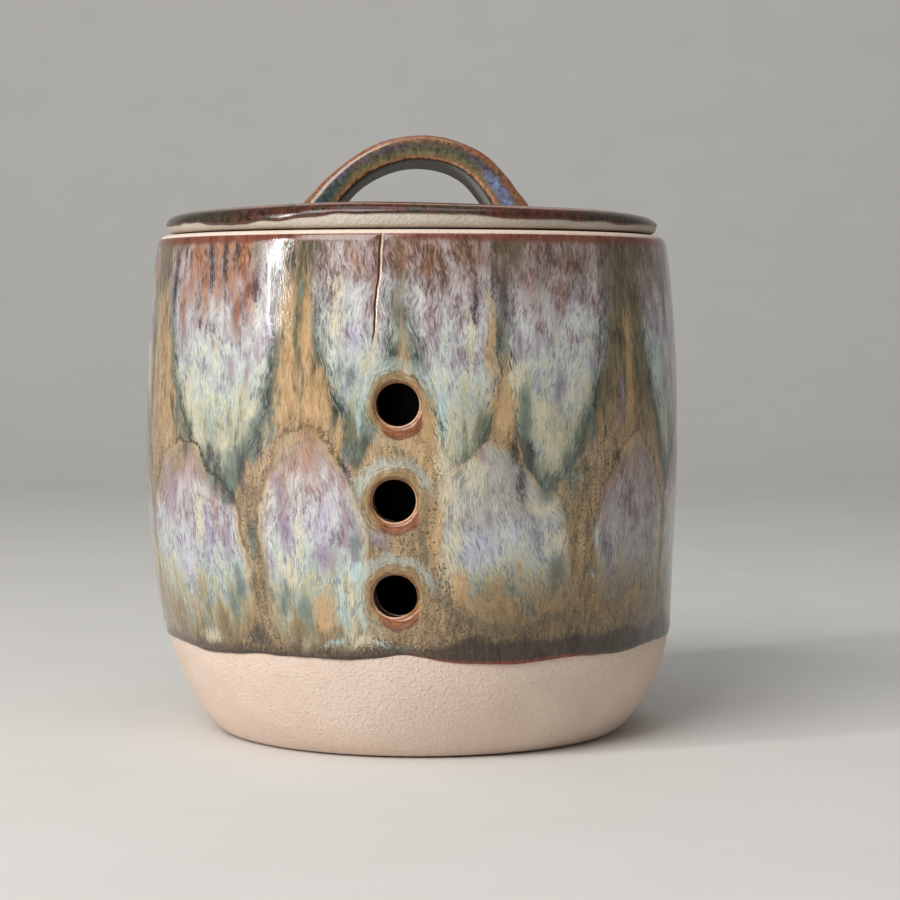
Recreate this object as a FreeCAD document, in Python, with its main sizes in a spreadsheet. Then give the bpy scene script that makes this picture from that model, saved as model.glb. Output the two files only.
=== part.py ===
"""Garlic keeper: a thrown stoneware jar with a column of vent holes, and a flat lid with a strap handle.

Frame: origin at the centre of the foot, on the table. +Z is up and the vent holes face -Y.
Everything round is turned about Z, and the handle spans X.
"""

import FreeCAD, Part
import math
import os

import Sketcher
from FreeCAD import Placement, Rotation, Vector

# Driving dimensions in millimetres. Each becomes one cell of the spreadsheet.
SIZES = {
    # Jar, measured on the clay
    "jar_height": 115.0,  # table to the top of the rim
    "belly_radius": 61.9,  # widest point of the wall
    "belly_height": 69.0,  # height of the widest point
    "rim_draw": 3.0,  # how far the wall draws in from the belly to the rim
    "base_arc": 42.0,  # radius of the curve that carries the wall in to the foot
    "turn_height": 24.0,  # where the long curve of the wall meets that curve
    "wall": 5.5,
    "floor": 7.0,
    "rim_round": 1.4,
    "foot_round": 1.8,
    "corner_round": 5.0,  # inside, where the wall meets the floor
    # Vent holes
    "vent_diameter": 9.0,
    "vent_height": 36.9,  # centre of the lowest hole
    "vent_pitch": 20.45,
    "vent_count": 3,
    "vent_round": 1.2,  # rounded outer edge of each hole
    # Glaze
    "coat": 0.5,  # thickness of the outer glaze
    "liner": 0.35,  # thickness of the glaze inside
    "coat_gap": 0.02,  # hair gap that keeps a coat's solid off the clay it is fused to
    "glaze_line": 22.0,  # the outer coat stops here, above the bare foot
    "rim_bare": 1.3,  # bare clay below the top of the rim, outside
    "liner_bare": 4.0,  # the same, inside
    # Lid
    "lid_inset": 1.6,  # from the outside of the rim in to the lid's side
    "lid_seat": 0.3,  # gap between the rim and the lid's underside
    "lid_thickness": 4.9,
    "lid_fall": 11.3,  # from the lid's side in to where its top starts to fall away
    "lid_edge_arc": 40.0,  # radius of the curve it falls along
    "lid_shoulder": 2.2,  # rounded upper edge
    "lid_coat": 0.45,
    "lid_coat_line": 1.7,  # height of bare clay on the lid's side
    # Locating ring under the lid
    "flange_clearance": 1.6,  # between the ring and the inside of the rim
    "flange_width": 4.0,
    "flange_depth": 8.0,
    "flange_round": 1.2,
    # Strap handle
    "handle_rise": 17.7,  # lid to the top of the strap
    "handle_span": 51.0,  # outside to outside, where it meets the lid
    "grip_rise": 11.7,  # clear height under the strap
    "grip_span": 34.0,  # clear width between the roots
    "strap_depth": 35.0,  # front to back at the top
    "root_depth": 37.0,  # front to back at the lid
    "strap_round": 2.0,
    "root_gap": 0.3,  # between a root of the handle and the lid's coat
}

# Values worked out from the sizes, kept as properties of one variable set.
SHAPE = {
    # The wall's long curve has its centre on the belly's level and passes through belly and rim.
    "belly_rise": "sizes.jar_height - sizes.belly_height",
    "belly_arc": "(belly_rise^2 + sizes.rim_draw^2) / (2 * sizes.rim_draw)",
    "belly_centre": "sizes.belly_radius - belly_arc",
    # Sine of the angle at which it turns into the base curve.
    "turn_sine": "(sizes.turn_height - sizes.belly_height) / belly_arc",
    "rim_radius": "sizes.belly_radius - sizes.rim_draw",
    "clear_radius": "sizes.belly_radius + sizes.wall",  # outside everything
    # The lid stands on the rim, and its ring drops inside.
    "lid_base": "sizes.jar_height + sizes.lid_seat",
    "lid_radius": "rim_radius - sizes.lid_inset",
    "lid_flat": "lid_radius - sizes.lid_fall",
    "flange_radius": "rim_radius - sizes.wall - sizes.flange_clearance",
    # The strap's two outlines are arcs with their centres below its foot.
    "strap_arc": "(sizes.handle_rise^2 + (sizes.handle_span / 2)^2) / (2 * sizes.handle_rise)",
    "strap_drop": "strap_arc - sizes.handle_rise",
    "grip_arc": "(sizes.grip_rise^2 + (sizes.grip_span / 2)^2) / (2 * sizes.grip_rise)",
    "grip_drop": "grip_arc - sizes.grip_rise",
}

ABOVE_RIM = 3  # a cut that opens the top runs this far past it
STRAP_SECTIONS = 9  # cross-sections that the strap is lofted through

ABOVE = f"sizes.jar_height + {ABOVE_RIM}"
CUTTERS = ("PartDesign::Groove", "PartDesign::Pocket", "PartDesign::SubtractiveCylinder")

doc = FreeCAD.newDocument("garlic_keeper")


def bind(target, name, formula):
    """Bind a property or constraint of an object to an expression."""
    target.setExpression(name, formula)


def value(formula):
    """The number that an expression gives now."""
    return float(sheet.evalExpression(formula))


def make_sizes():
    """Write the driving dimensions into a spreadsheet, one alias to a cell."""
    cells = doc.addObject("Spreadsheet::Sheet", "sizes")
    for row, (name, size) in enumerate(SIZES.items(), start=1):
        cells.set(f"A{row}", name.replace("_", " "))
        cells.set(f"B{row}", str(size))
        cells.setAlias(f"B{row}", name)
    doc.recompute()
    return cells


def make_shape():
    """Work the shared curves and seats out of the spreadsheet."""
    shape = doc.addObject("App::VarSet", "shape")
    for name, formula in SHAPE.items():
        shape.addProperty("App::PropertyFloat", name)
        bind(shape, name, formula)
        doc.recompute()


sheet = make_sizes()
make_shape()


# Bodies and sketches


def make_body(name, height=None):
    """Start a sub-part, raised to a height above the table if one is given."""
    body = doc.addObject("PartDesign::Body", name)
    body.Label = name
    if height:
        bind(body, "Placement.Base.z", height)
    return body


def origin_plane(body, role):
    """One of the body's own origin planes, such as XY_Plane."""
    return next(item for item in body.Origin.OriginFeatures if item.Role == role)


class Outline:
    """A sketch on one of a body's origin planes, sized by expressions."""

    START, END, CENTRE = 1, 2, 3
    ORIGIN = (-1, 1)
    ACROSS, UP = -1, -2

    def __init__(self, body, name, plane="XZ_Plane"):
        self.sketch = body.newObject("Sketcher::SketchObject", name)
        self.sketch.AttachmentSupport = origin_plane(body, plane)
        self.sketch.MapMode = "FlatFace"

    def point(self, across, up):
        return Vector(value(across), value(up), 0)

    def line(self, start, end):
        return self.sketch.addGeometry(Part.LineSegment(self.point(*start), self.point(*end)))

    def lines(self, *points):
        """A chain of lines, joined end to start."""
        chain = [self.line(start, end) for start, end in zip(points, points[1:])]
        for before, after in zip(chain, chain[1:]):
            self.join(before, self.END, after, self.START)
        return chain

    def circle(self, centre, diameter):
        ring = Part.Circle(self.point(*centre), Vector(0, 0, 1), value(diameter) / 2)
        index = self.sketch.addGeometry(ring)
        self.size("Diameter", diameter, index)
        return index

    def arc(self, centre, radius, start, end):
        """An arc that runs anticlockwise between two angles, in degrees."""
        ring = Part.Circle(self.point(*centre), Vector(0, 0, 1), value(radius))
        index = self.sketch.addGeometry(Part.ArcOfCircle(ring, math.radians(start), math.radians(end)))
        self.size("Radius", radius, index)
        return index

    def size(self, kind, formula, *places):
        """A dimension whose value is an expression."""
        index = self.sketch.addConstraint(Sketcher.Constraint(kind, *places, value(formula)))
        bind(self.sketch, f"Constraints[{index}]", formula)

    def rule(self, kind, *places):
        """A constraint that has no value, such as Horizontal."""
        self.sketch.addConstraint(Sketcher.Constraint(kind, *places))

    def join(self, *places):
        self.rule("Coincident", *places)

    def across(self, geometry, point, formula):
        self.size("DistanceX", formula, *self.ORIGIN, geometry, point)

    def up(self, geometry, point, formula):
        self.size("DistanceY", formula, *self.ORIGIN, geometry, point)

    def rounded_rectangle(self, left, right, low, high, corner):
        """A rectangle with rounded corners, between two places across and two up."""
        inner_left, inner_right = f"{left} + {corner}", f"{right} - {corner}"
        inner_low, inner_high = f"{low} + {corner}", f"{high} - {corner}"
        sides = [
            self.line((inner_left, low), (inner_right, low)),
            self.line((right, inner_low), (right, inner_high)),
            self.line((inner_right, high), (inner_left, high)),
            self.line((left, inner_high), (left, inner_low)),
        ]
        corners = [
            self.arc((inner_right, inner_low), corner, -90, 0),
            self.arc((inner_right, inner_high), corner, 0, 90),
            self.arc((inner_left, inner_high), corner, 90, 180),
            self.arc((inner_left, inner_low), corner, 180, 270),
        ]
        for side, bend, next_side in zip(sides, corners, sides[1:] + sides[:1]):
            self.rule("Tangent", side, self.END, bend, self.START)
            self.rule("Tangent", bend, self.END, next_side, self.START)
        base, right_side, top, left_side = sides
        for flat in (base, top):
            self.rule("Horizontal", flat)
        for upright in (right_side, left_side):
            self.rule("Vertical", upright)
        self.up(base, self.START, low)
        self.up(top, self.START, high)
        self.across(right_side, self.START, right)
        self.across(left_side, self.START, left)


# Features


def turn(body, name, outline, kind="Revolution"):
    """Turn an outline about the vertical axis: Revolution adds, Groove cuts."""
    feature = body.newObject(f"PartDesign::{kind}", name)
    feature.Profile = outline.sketch
    feature.ReferenceAxis = (outline.sketch, ["V_Axis"])
    feature.Angle = 360
    doc.recompute()
    return feature


def fillet(body, name, edges, radius):
    """Round some edges of the body's last feature."""
    base = body.Tip
    feature = body.newObject("PartDesign::Fillet", name)
    feature.Base = (base, edges)
    bind(feature, "Radius", radius)
    doc.recompute()
    return feature


def trim(body, name, low, high):
    """Cut away all that lies between two levels."""
    feature = body.newObject("PartDesign::SubtractiveCylinder", name)
    feature.AttachmentSupport = origin_plane(body, "XY_Plane")
    feature.MapMode = "FlatFace"
    bind(feature, "AttachmentOffset.Base.z", low)
    bind(feature, "Radius", "shape.clear_radius")
    bind(feature, "Height", f"({high}) - ({low})")
    doc.recompute()
    return feature


def edge_names(shape, wanted):
    """Names of the edges for which wanted(edge) is true."""
    return [f"Edge{number}" for number, edge in enumerate(shape.Edges, start=1) if wanted(edge)]


def rings(body, level):
    """Names of the body's level circles at a height."""
    height = value(level)

    def at_level(edge):
        box = edge.BoundBox
        flat = box.ZLength < 1e-4 and abs(box.ZMin - height) < 1e-3
        return flat and isinstance(edge.Curve, Part.Circle)

    return edge_names(body.Tip.Shape, at_level)


# Jar


def base_curve_centre():
    """Centre of the base curve, for every offset: it is tangent to the long curve at the turn."""
    reach = "(shape.belly_arc - sizes.base_arc)"
    across = f"(shape.belly_centre + {reach} * sqrt(1 - shape.turn_sine^2))"
    up = f"(sizes.belly_height + {reach} * shape.turn_sine)"
    return across, up


def angle_at(height, centre_height, radius):
    """Angle of the point at a height on the right of a circle, in degrees."""
    return math.degrees(math.asin(value(f"(({height}) - {centre_height}) / ({radius})")))


def bowl_outline(body, name, offset, floor, corner, top="sizes.jar_height"):
    """Half the section of everything inside the wall, above a floor.

    The wall is two tangent arcs. Every surface of it, clay or glaze, is the same two arcs at an
    offset, with a rounded corner down to its floor.
    """
    outline = Outline(body, name)
    long_centre = ("shape.belly_centre", "sizes.belly_height")
    long_radius = f"shape.belly_arc + {offset}"
    turn_angle = math.degrees(math.asin(value("shape.turn_sine")))
    long_arc = outline.arc(long_centre, long_radius, turn_angle, angle_at(top, long_centre[1], long_radius))

    base_centre = base_curve_centre()
    base_radius = f"sizes.base_arc + {offset}"
    corner_height = f"({floor}) + {corner}"
    corner_reach = f"({base_radius} - {corner})"
    low_angle = angle_at(corner_height, base_centre[1], corner_reach)
    base_arc = outline.arc(base_centre, base_radius, low_angle, turn_angle)

    corner_centre = f"{base_centre[0]} + sqrt({corner_reach}^2 - ({corner_height} - {base_centre[1]})^2)"
    corner_arc = outline.arc((corner_centre, corner_height), corner, -90, low_angle)
    top_end = f"{long_centre[0]} + sqrt(({long_radius})^2 - ({top} - {long_centre[1]})^2)"
    floor_line, axis_line, top_line = outline.lines(
        (corner_centre, floor), ("0", floor), ("0", top), (top_end, top)
    )

    outline.rule("Tangent", floor_line, outline.START, corner_arc, outline.START)
    outline.rule("Tangent", corner_arc, outline.END, base_arc, outline.START)
    outline.rule("Tangent", base_arc, outline.END, long_arc, outline.START)
    outline.join(long_arc, outline.END, top_line, outline.END)
    outline.rule("Horizontal", floor_line)
    outline.rule("Horizontal", top_line)
    outline.rule("PointOnObject", axis_line, outline.START, outline.UP)
    outline.rule("PointOnObject", axis_line, outline.END, outline.UP)
    outline.across(long_arc, outline.CENTRE, long_centre[0])
    outline.up(long_arc, outline.CENTRE, long_centre[1])
    outline.up(long_arc, outline.START, f"sizes.belly_height + ({long_radius}) * shape.turn_sine")
    outline.up(top_line, outline.START, top)
    outline.up(floor_line, outline.END, floor)
    return outline


def cut_vents(body, diameter):
    """Cut the column of vent holes through the front wall, from the axis outwards."""
    outline = Outline(body, f"{body.Name}_vent_outline")
    hole = outline.circle(("0", "sizes.vent_height"), diameter)
    outline.rule("PointOnObject", hole, outline.CENTRE, outline.UP)
    outline.up(hole, outline.CENTRE, "sizes.vent_height")
    pocket = body.newObject("PartDesign::Pocket", f"{body.Name}_vent")
    pocket.Profile = outline.sketch
    pocket.Type = "ThroughAll"
    pocket.Reversed = True
    doc.recompute()
    column = body.newObject("PartDesign::LinearPattern", f"{body.Name}_vents")
    column.Originals = [pocket]
    column.Direction = (outline.sketch, ["V_Axis"])
    column.Mode = "Spacing"
    bind(column, "Occurrences", "sizes.vent_count")
    bind(column, "Offset", "sizes.vent_pitch")
    body.Tip = column
    doc.recompute()


def vent_mouths(shape):
    """Names of the outer edges of the vent holes."""
    radius = value("sizes.vent_diameter / 2")
    bores = [
        face
        for face in shape.Faces
        if isinstance(face.Surface, Part.Cylinder) and abs(face.Surface.Radius - radius) < 1e-6
    ]
    mouths = [min(bore.Edges, key=lambda edge: edge.CenterOfMass.y) for bore in bores]
    return edge_names(shape, lambda edge: any(edge.isSame(mouth) for mouth in mouths))


def make_jar():
    """The thrown clay vessel: turned, hollowed, pierced, and rounded wherever a hand meets it."""
    body = make_body("jar")
    lump = bowl_outline(body, "jar_outside", "0", "0", "sizes.foot_round")
    turn(body, "jar_lump", lump)
    hollow = bowl_outline(body, "jar_inside", "(-sizes.wall)", "sizes.floor", "sizes.corner_round", ABOVE)
    turn(body, "jar_hollow", hollow, "Groove")
    fillet(body, "jar_rim", rings(body, "sizes.jar_height"), "sizes.rim_round")
    cut_vents(body, "sizes.vent_diameter")
    fillet(body, "jar_vent_mouths", vent_mouths(body.Tip.Shape), "sizes.vent_round")
    return body


def make_jar_glaze():
    """The outer coat: a skin on the wall from the glaze line to just below the rim."""
    body = make_body("jar_glaze")
    outer = "(sizes.coat_gap + sizes.coat)"
    turn(body, "coat_outer", bowl_outline(body, "coat_outside", outer, "0", "sizes.foot_round"))
    inside = bowl_outline(body, "coat_inside", "sizes.coat_gap", "0", "sizes.foot_round", ABOVE)
    turn(body, "coat_inner", inside, "Groove")
    trim(body, "bare_foot", "0", "sizes.glaze_line")
    trim(body, "bare_rim", "sizes.jar_height - sizes.rim_bare", ABOVE)
    cut_vents(body, "sizes.vent_diameter + 2 * (sizes.vent_round + sizes.coat_gap)")
    return body


def make_liner_glaze():
    """The coat inside: over the floor and up the wall to just below the rim."""
    body = make_body("liner_glaze")
    skin = "(sizes.coat_gap + sizes.liner)"
    low = "sizes.floor + sizes.coat_gap"
    low_corner = "(sizes.corner_round - sizes.coat_gap)"
    outside = bowl_outline(body, "liner_outside", "(-sizes.wall - sizes.coat_gap)", low, low_corner)
    turn(body, "liner_outer", outside)
    high = f"sizes.floor + {skin}"
    high_corner = f"(sizes.corner_round - {skin})"
    inside = bowl_outline(body, "liner_inside", f"(-sizes.wall - {skin})", high, high_corner, ABOVE)
    turn(body, "liner_inner", inside, "Groove")
    trim(body, "bare_inner_rim", "sizes.jar_height - sizes.liner_bare", ABOVE)
    cut_vents(body, "sizes.vent_diameter + 2 * sizes.coat_gap")
    return body


# Lid


def lid_outline(body, name, offset):
    """Half the section of the lid, grown by an offset: flat top, falling edge, shoulder and side."""
    outline = Outline(body, name)
    top = f"sizes.lid_thickness + {offset}"
    side = f"shape.lid_radius + {offset}"
    edge_radius = f"sizes.lid_edge_arc + {offset}"
    shoulder_radius = f"sizes.lid_shoulder + {offset}"

    # Where the edge curve meets the shoulder, seen from the edge curve's centre
    reach = value("sizes.lid_edge_arc - sizes.lid_shoulder")
    run = value("shape.lid_radius - sizes.lid_shoulder - shape.lid_flat")
    meeting = math.degrees(math.acos(run / reach))
    fall = value("sizes.lid_edge_arc") - math.sqrt(reach**2 - run**2)
    edge_centre = ("shape.lid_flat", "sizes.lid_thickness - sizes.lid_edge_arc")
    shoulder_centre = ("shape.lid_radius - sizes.lid_shoulder", f"sizes.lid_thickness - {fall}")

    edge = outline.arc(edge_centre, edge_radius, meeting, 90)
    shoulder = outline.arc(shoulder_centre, shoulder_radius, 0, meeting)
    flat, axis, base = outline.lines(("shape.lid_flat", top), ("0", top), ("0", "0"), (side, "0"))
    upright = outline.line((side, "0"), (side, shoulder_centre[1]))
    outline.join(base, outline.END, upright, outline.START)
    outline.rule("Tangent", upright, outline.END, shoulder, outline.START)
    outline.rule("Tangent", shoulder, outline.END, edge, outline.START)
    outline.rule("Tangent", edge, outline.END, flat, outline.START)
    outline.rule("Horizontal", flat)
    outline.rule("Vertical", axis)
    outline.rule("Vertical", upright)
    outline.rule("Horizontal", base)
    outline.join(axis, outline.END, *outline.ORIGIN)
    outline.up(flat, outline.START, top)
    outline.across(flat, outline.START, "shape.lid_flat")
    outline.across(upright, outline.START, side)
    return outline


def make_lid():
    """The clay disc."""
    body = make_body("lid", "shape.lid_base")
    turn(body, "lid_disc", lid_outline(body, "lid_section", "0"))
    return body


def make_lid_glaze():
    """The coat over the lid's top and shoulder, left open where the handle's roots join the clay."""
    body = make_body("lid_glaze", "shape.lid_base")
    turn(body, "lid_coat_outer", lid_outline(body, "lid_coat_outside", "(sizes.coat_gap + sizes.lid_coat)"))
    turn(body, "lid_coat_inner", lid_outline(body, "lid_coat_inside", "sizes.coat_gap"), "Groove")
    trim(body, "bare_lid_side", "0", "sizes.lid_coat_line")

    roots = Outline(body, "root_outline", "XY_Plane")
    near = "(sizes.grip_span / 2 - sizes.root_gap)"
    far = "(sizes.handle_span / 2 + sizes.root_gap)"
    deep = "(sizes.root_depth / 2 + sizes.root_gap)"
    corner = "(sizes.strap_round + sizes.root_gap)"
    roots.rounded_rectangle(near, far, f"-{deep}", deep, corner)
    roots.rounded_rectangle(f"-{far}", f"-{near}", f"-{deep}", deep, corner)
    pocket = body.newObject("PartDesign::Pocket", "root_openings")
    pocket.Profile = roots.sketch
    pocket.Type = "ThroughAll"
    pocket.Reversed = True
    doc.recompute()
    return body


def make_lid_flange():
    """The ring under the lid that keeps it centred in the rim."""
    body = make_body("lid_flange", "shape.lid_base - sizes.flange_depth")
    outline = Outline(body, "flange_section")
    inner = "shape.flange_radius - sizes.flange_width"
    base, side, top, back = outline.lines(
        (inner, "0"),
        ("shape.flange_radius", "0"),
        ("shape.flange_radius", "sizes.flange_depth"),
        (inner, "sizes.flange_depth"),
        (inner, "0"),
    )
    outline.join(back, outline.END, base, outline.START)
    outline.rule("PointOnObject", base, outline.START, outline.ACROSS)
    for flat in (base, top):
        outline.rule("Horizontal", flat)
    for upright in (side, back):
        outline.rule("Vertical", upright)
    outline.across(base, outline.START, inner)
    outline.across(base, outline.END, "shape.flange_radius")
    outline.up(top, outline.START, "sizes.flange_depth")
    turn(body, "flange_ring", outline)
    fillet(body, "flange_edges", rings(body, "0"), "sizes.flange_round")
    return body


# Handle


def strap_section(body, number):
    """One cross-section of the strap, on a plane that leans over from the middle of its foot."""
    lean = 180 * number / (STRAP_SECTIONS - 1) - 90
    share = abs(lean) / 90
    rise = math.cos(math.radians(lean))
    run = math.sin(math.radians(lean))
    outline = Outline(body, f"strap_section_{number + 1}", "YZ_Plane")
    outline.sketch.AttachmentOffset = Placement(Vector(0, 0, 0), Rotation(Vector(1, 0, 0), lean))

    def reach(arc, drop):
        return f"(sqrt({arc}^2 - ({drop} * {run:.6f})^2) - {drop} * {rise:.6f})"

    half = f"((sizes.strap_depth + (sizes.root_depth - sizes.strap_depth) * {share**2:.6f}) / 2)"
    inside = reach("shape.grip_arc", "shape.grip_drop")
    outside = reach("shape.strap_arc", "shape.strap_drop")
    outline.rounded_rectangle(f"-{half}", half, inside, outside, "sizes.strap_round")
    return outline.sketch


def make_handle():
    """The strap: lofted over the arch from root to root, thin at the top and broad at the lid."""
    body = make_body("handle", "shape.lid_base + sizes.lid_thickness")
    sections = [strap_section(body, number) for number in range(STRAP_SECTIONS)]
    doc.recompute()
    loft = body.newObject("PartDesign::AdditiveLoft", "strap")
    loft.Profile = sections[0]
    loft.Sections = sections[1:]
    doc.recompute()
    return body


# Build, check and write


def check_document():
    """Stop if any object of the document failed to compute."""
    for item in doc.Objects:
        if "Invalid" in item.State or "Error" in item.State:
            raise RuntimeError(f"{item.Name} failed: {item.State}")


def check_cuts(body):
    """Stop if a feature that should cut the body removed nothing."""
    volume = None
    for item in body.Group:
        if not hasattr(item, "BaseFeature"):
            continue
        if volume and item.TypeId in CUTTERS and item.Shape.Volume > volume - 1e-3:
            raise RuntimeError(f"{item.Name} cuts nothing")
        volume = item.Shape.Volume


bodies = [
    make_jar(),
    make_jar_glaze(),
    make_liner_glaze(),
    make_lid(),
    make_lid_glaze(),
    make_lid_flange(),
    make_handle(),
]
doc.recompute()
check_document()
os.makedirs("parts", exist_ok=True)
for body in bodies:
    check_cuts(body)
    if body.Shape.isNull() or not body.Shape.isValid():
        raise RuntimeError(f"{body.Label} has no valid shape")
    body.Shape.exportStep(f"parts/{body.Label}.step")
    box = body.Shape.optimalBoundingBox(False)
    print(
        f"{body.Label:12} {len(body.Shape.Solids)} solid, {body.Shape.Volume / 1000:7.2f} cm3, "
        f"z {box.ZMin:.2f} to {box.ZMax:.2f}, reaching {box.XMax:.2f} from the axis"
    )
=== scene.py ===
# %% [markdown]
# # A stoneware garlic keeper
#
# The object is a small lidded jar, thrown in buff stoneware, with three air holes in its wall and a
# strap handle on its lid. A running glaze covers all but the foot. This lesson builds the seven
# fired pieces over the frame of solids, gives each its finish, and lights them on a plain floor.
# Every mesh starts as a ring or a small plane and is pulled into shape in edit mode, as clay is
# pulled on the wheel: one ring at a time.

import math
import random

import bmesh
import bpy
import numpy as np
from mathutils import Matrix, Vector, noise


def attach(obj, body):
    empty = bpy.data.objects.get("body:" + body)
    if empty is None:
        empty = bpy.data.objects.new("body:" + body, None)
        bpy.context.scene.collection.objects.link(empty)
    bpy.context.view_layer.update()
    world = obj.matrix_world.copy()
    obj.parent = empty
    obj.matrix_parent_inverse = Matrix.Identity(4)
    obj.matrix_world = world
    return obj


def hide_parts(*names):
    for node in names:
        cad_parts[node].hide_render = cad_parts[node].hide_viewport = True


MM = 0.001

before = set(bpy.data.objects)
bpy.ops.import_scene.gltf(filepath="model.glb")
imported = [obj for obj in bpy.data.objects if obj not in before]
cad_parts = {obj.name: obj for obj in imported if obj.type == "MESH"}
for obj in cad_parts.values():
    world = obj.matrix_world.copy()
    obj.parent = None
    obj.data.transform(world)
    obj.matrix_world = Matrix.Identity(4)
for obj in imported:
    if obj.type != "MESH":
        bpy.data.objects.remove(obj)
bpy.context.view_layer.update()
print("nodes in the frame:", sorted(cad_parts))

# %% [markdown]
# ## The jar's outline
#
# A thrown wall is read as its radius at each height. Two arcs make it: a long, flat one from the
# rim to the turn above the foot, and a short one that tucks in to the foot. Both are written as a
# function, so that the clay, the glaze on it and the glaze inside it all follow the same wall.

# %% The wall as a radius at each height
WALL_ARC = 354.2
WALL_ARC_CENTRE = (-292.3, 69.0)
FOOT_ARC = 42.0
FOOT_ARC_CENTRE = (17.4, 29.3)
TURN_HEIGHT = 24.0
JAR_HEIGHT = 115.0
WALL = 5.5
FLOOR = 7.0
MIDDLE = 36.0  # radius of the flat middle of the floor, which is filled in last


def wall_radius(height):
    """Radius of the outside of the clay at a height, in millimetres."""
    arc, centre = WALL_ARC, WALL_ARC_CENTRE
    if height <= TURN_HEIGHT:
        arc, centre = FOOT_ARC, FOOT_ARC_CENTRE
    return centre[0] + math.sqrt(arc**2 - (height - centre[1]) ** 2)


print("radius at the rim, belly and foot:", [round(wall_radius(h), 1) for h in (113, 69, 1)])

# %% [markdown]
# ## Tools for the wheel
#
# A ring of vertices is the start of every round piece. It is extruded to the next radius and
# height, over and over, so the mesh is clean rows of four-sided faces with no seam. Everything is
# deselected first, because an operator works on all that is selected.


# %% Start a ring and pull it up
def take(piece):
    """Makes this piece the only selected and active one, in object mode."""
    if bpy.context.mode != "OBJECT":
        bpy.ops.object.mode_set(mode="OBJECT")
    bpy.ops.object.select_all(action="DESELECT")
    piece.select_set(True)
    bpy.context.view_layer.objects.active = piece


def throw(name, columns, stations):
    """A surface of revolution, pulled ring by ring through (radius, height) in millimetres."""
    bpy.ops.object.select_all(action="DESELECT")
    radius, height = stations[0]
    bpy.ops.mesh.primitive_circle_add(
        vertices=columns, radius=radius * MM, fill_type="NOTHING", location=(0, 0, height * MM)
    )
    piece = bpy.context.object
    piece.name = piece.data.name = name
    bpy.ops.object.transform_apply(location=True, rotation=True, scale=True)
    bpy.ops.object.mode_set(mode="EDIT")
    for next_radius, next_height in stations[1:]:
        bpy.ops.mesh.extrude_region_move(
            TRANSFORM_OT_translate={"value": (0, 0, (next_height - height) * MM)}
        )
        share = next_radius / radius
        bpy.ops.transform.resize(value=(share, share, 1), center_override=(0, 0, next_height * MM))
        radius, height = next_radius, next_height
    bpy.ops.object.mode_set(mode="OBJECT")
    return piece


def pick(piece, test, kind="verts"):
    """Selects, in edit mode, the vertices or faces whose place in millimetres passes the test."""
    take(piece)
    bpy.ops.object.mode_set(mode="EDIT")
    bpy.ops.mesh.select_mode(type="VERT" if kind == "verts" else "FACE")
    bpy.ops.mesh.select_all(action="DESELECT")
    mesh = bmesh.from_edit_mesh(piece.data)
    found = 0
    for part in getattr(mesh, kind):
        place = (part.co if kind == "verts" else part.calc_center_median()) / MM
        if test(place, part):
            part.select_set(True)
            found += 1
    mesh.select_flush_mode()
    bmesh.update_edit_mesh(piece.data)
    return found


def leave():
    """Back to object mode."""
    bpy.ops.object.mode_set(mode="OBJECT")


def from_axis(place):
    """Millimetres from the jar's axis, of one place or of a row of them."""
    if isinstance(place, Vector):
        return math.hypot(place.x, place.y)
    return np.hypot(place[:, 0], place[:, 1])


# %% Close a pole and smooth a mesh
def close_pole(piece, station, columns):
    """Fills the ring at this (radius, height) with a grid of squares, not a fan of triangles."""
    radius, height = station
    pick(
        piece,
        lambda place, vert: abs(place.z - height) < 0.01 and abs(from_axis(place) - radius) < 0.05,
    )
    bpy.ops.mesh.fill_grid(span=columns // 4)
    leave()


def apply_modifier(piece, kind, **settings):
    """Adds a modifier with these settings and applies it at once."""
    take(piece)
    modifier = piece.modifiers.new(kind.title(), kind)
    for key, value in settings.items():
        setattr(modifier, key, value)
    bpy.ops.object.modifier_apply(modifier=modifier.name)


def smooth(piece, levels=1):
    """Rounds the mesh by subdivision and shades it smooth."""
    apply_modifier(piece, "SUBSURF", levels=levels, render_levels=levels)
    take(piece)
    bpy.ops.object.shade_smooth()


def face_outwards(piece):
    """Welds doubled vertices and turns every face outwards."""
    pick(piece, lambda place, vert: True)
    bpy.ops.mesh.remove_doubles(threshold=0.01 * MM)
    bpy.ops.mesh.normals_make_consistent(inside=False)
    leave()


def read(values, slot):
    """Three numbers of each vertex, as an array."""
    flat = np.empty(len(values) * 3)
    values.foreach_get(slot, flat)
    return flat.reshape(-1, 3)


def places(piece):
    """All vertex places as an array, in millimetres."""
    return read(piece.data.vertices, "co") / MM


# %% [markdown]
# Clay is never quite true: it leans, it is dented where it was lifted off the wheel, and glaze
# sinks into uneven drips. One tool does all of this. A vertex group holds how strongly each vertex
# is pushed, and a Displace modifier pushes them all in one direction.


# %% Push a surface by weights
def push(piece, name, direction, reach, weights):
    """Moves each vertex by its weight, from -1 to 1, times reach in millimetres."""
    for sign, side in ((1, "out"), (-1, "back")):
        group = piece.vertex_groups.new(name=f"{name}_{side}")
        strong = np.clip(weights * sign, 0, 1)
        for index in np.nonzero(strong > 0.001)[0]:
            group.add([int(index)], float(strong[index]), "REPLACE")
        apply_modifier(
            piece, "DISPLACE", direction=direction, strength=sign * reach * MM, mid_level=0,
            vertex_group=group.name,
        )
    piece.vertex_groups.clear()


def angle_of(place):
    """Degrees round the jar from the front, rising towards +X."""
    return np.degrees(np.arctan2(place[:, 0], -place[:, 1]))


def turn_between(angles, centre):
    """Degrees from a centre, between -180 and 180."""
    return (angles - centre + 180) % 360 - 180


def wave_at(place, waves):
    """Smooth hills round the jar: how far up at each place, in millimetres."""
    angles = angle_of(place)
    return sum(
        up * np.exp(-((turn_between(angles, centre) / half_width) ** 2)) for centre, up, half_width in waves
    )


def ramp(value, low, high):
    """A soft step: 0 at low, 1 at high."""
    share = np.clip((value - low) / (high - low), 0, 1)
    return share * share * (3 - 2 * share)


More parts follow.
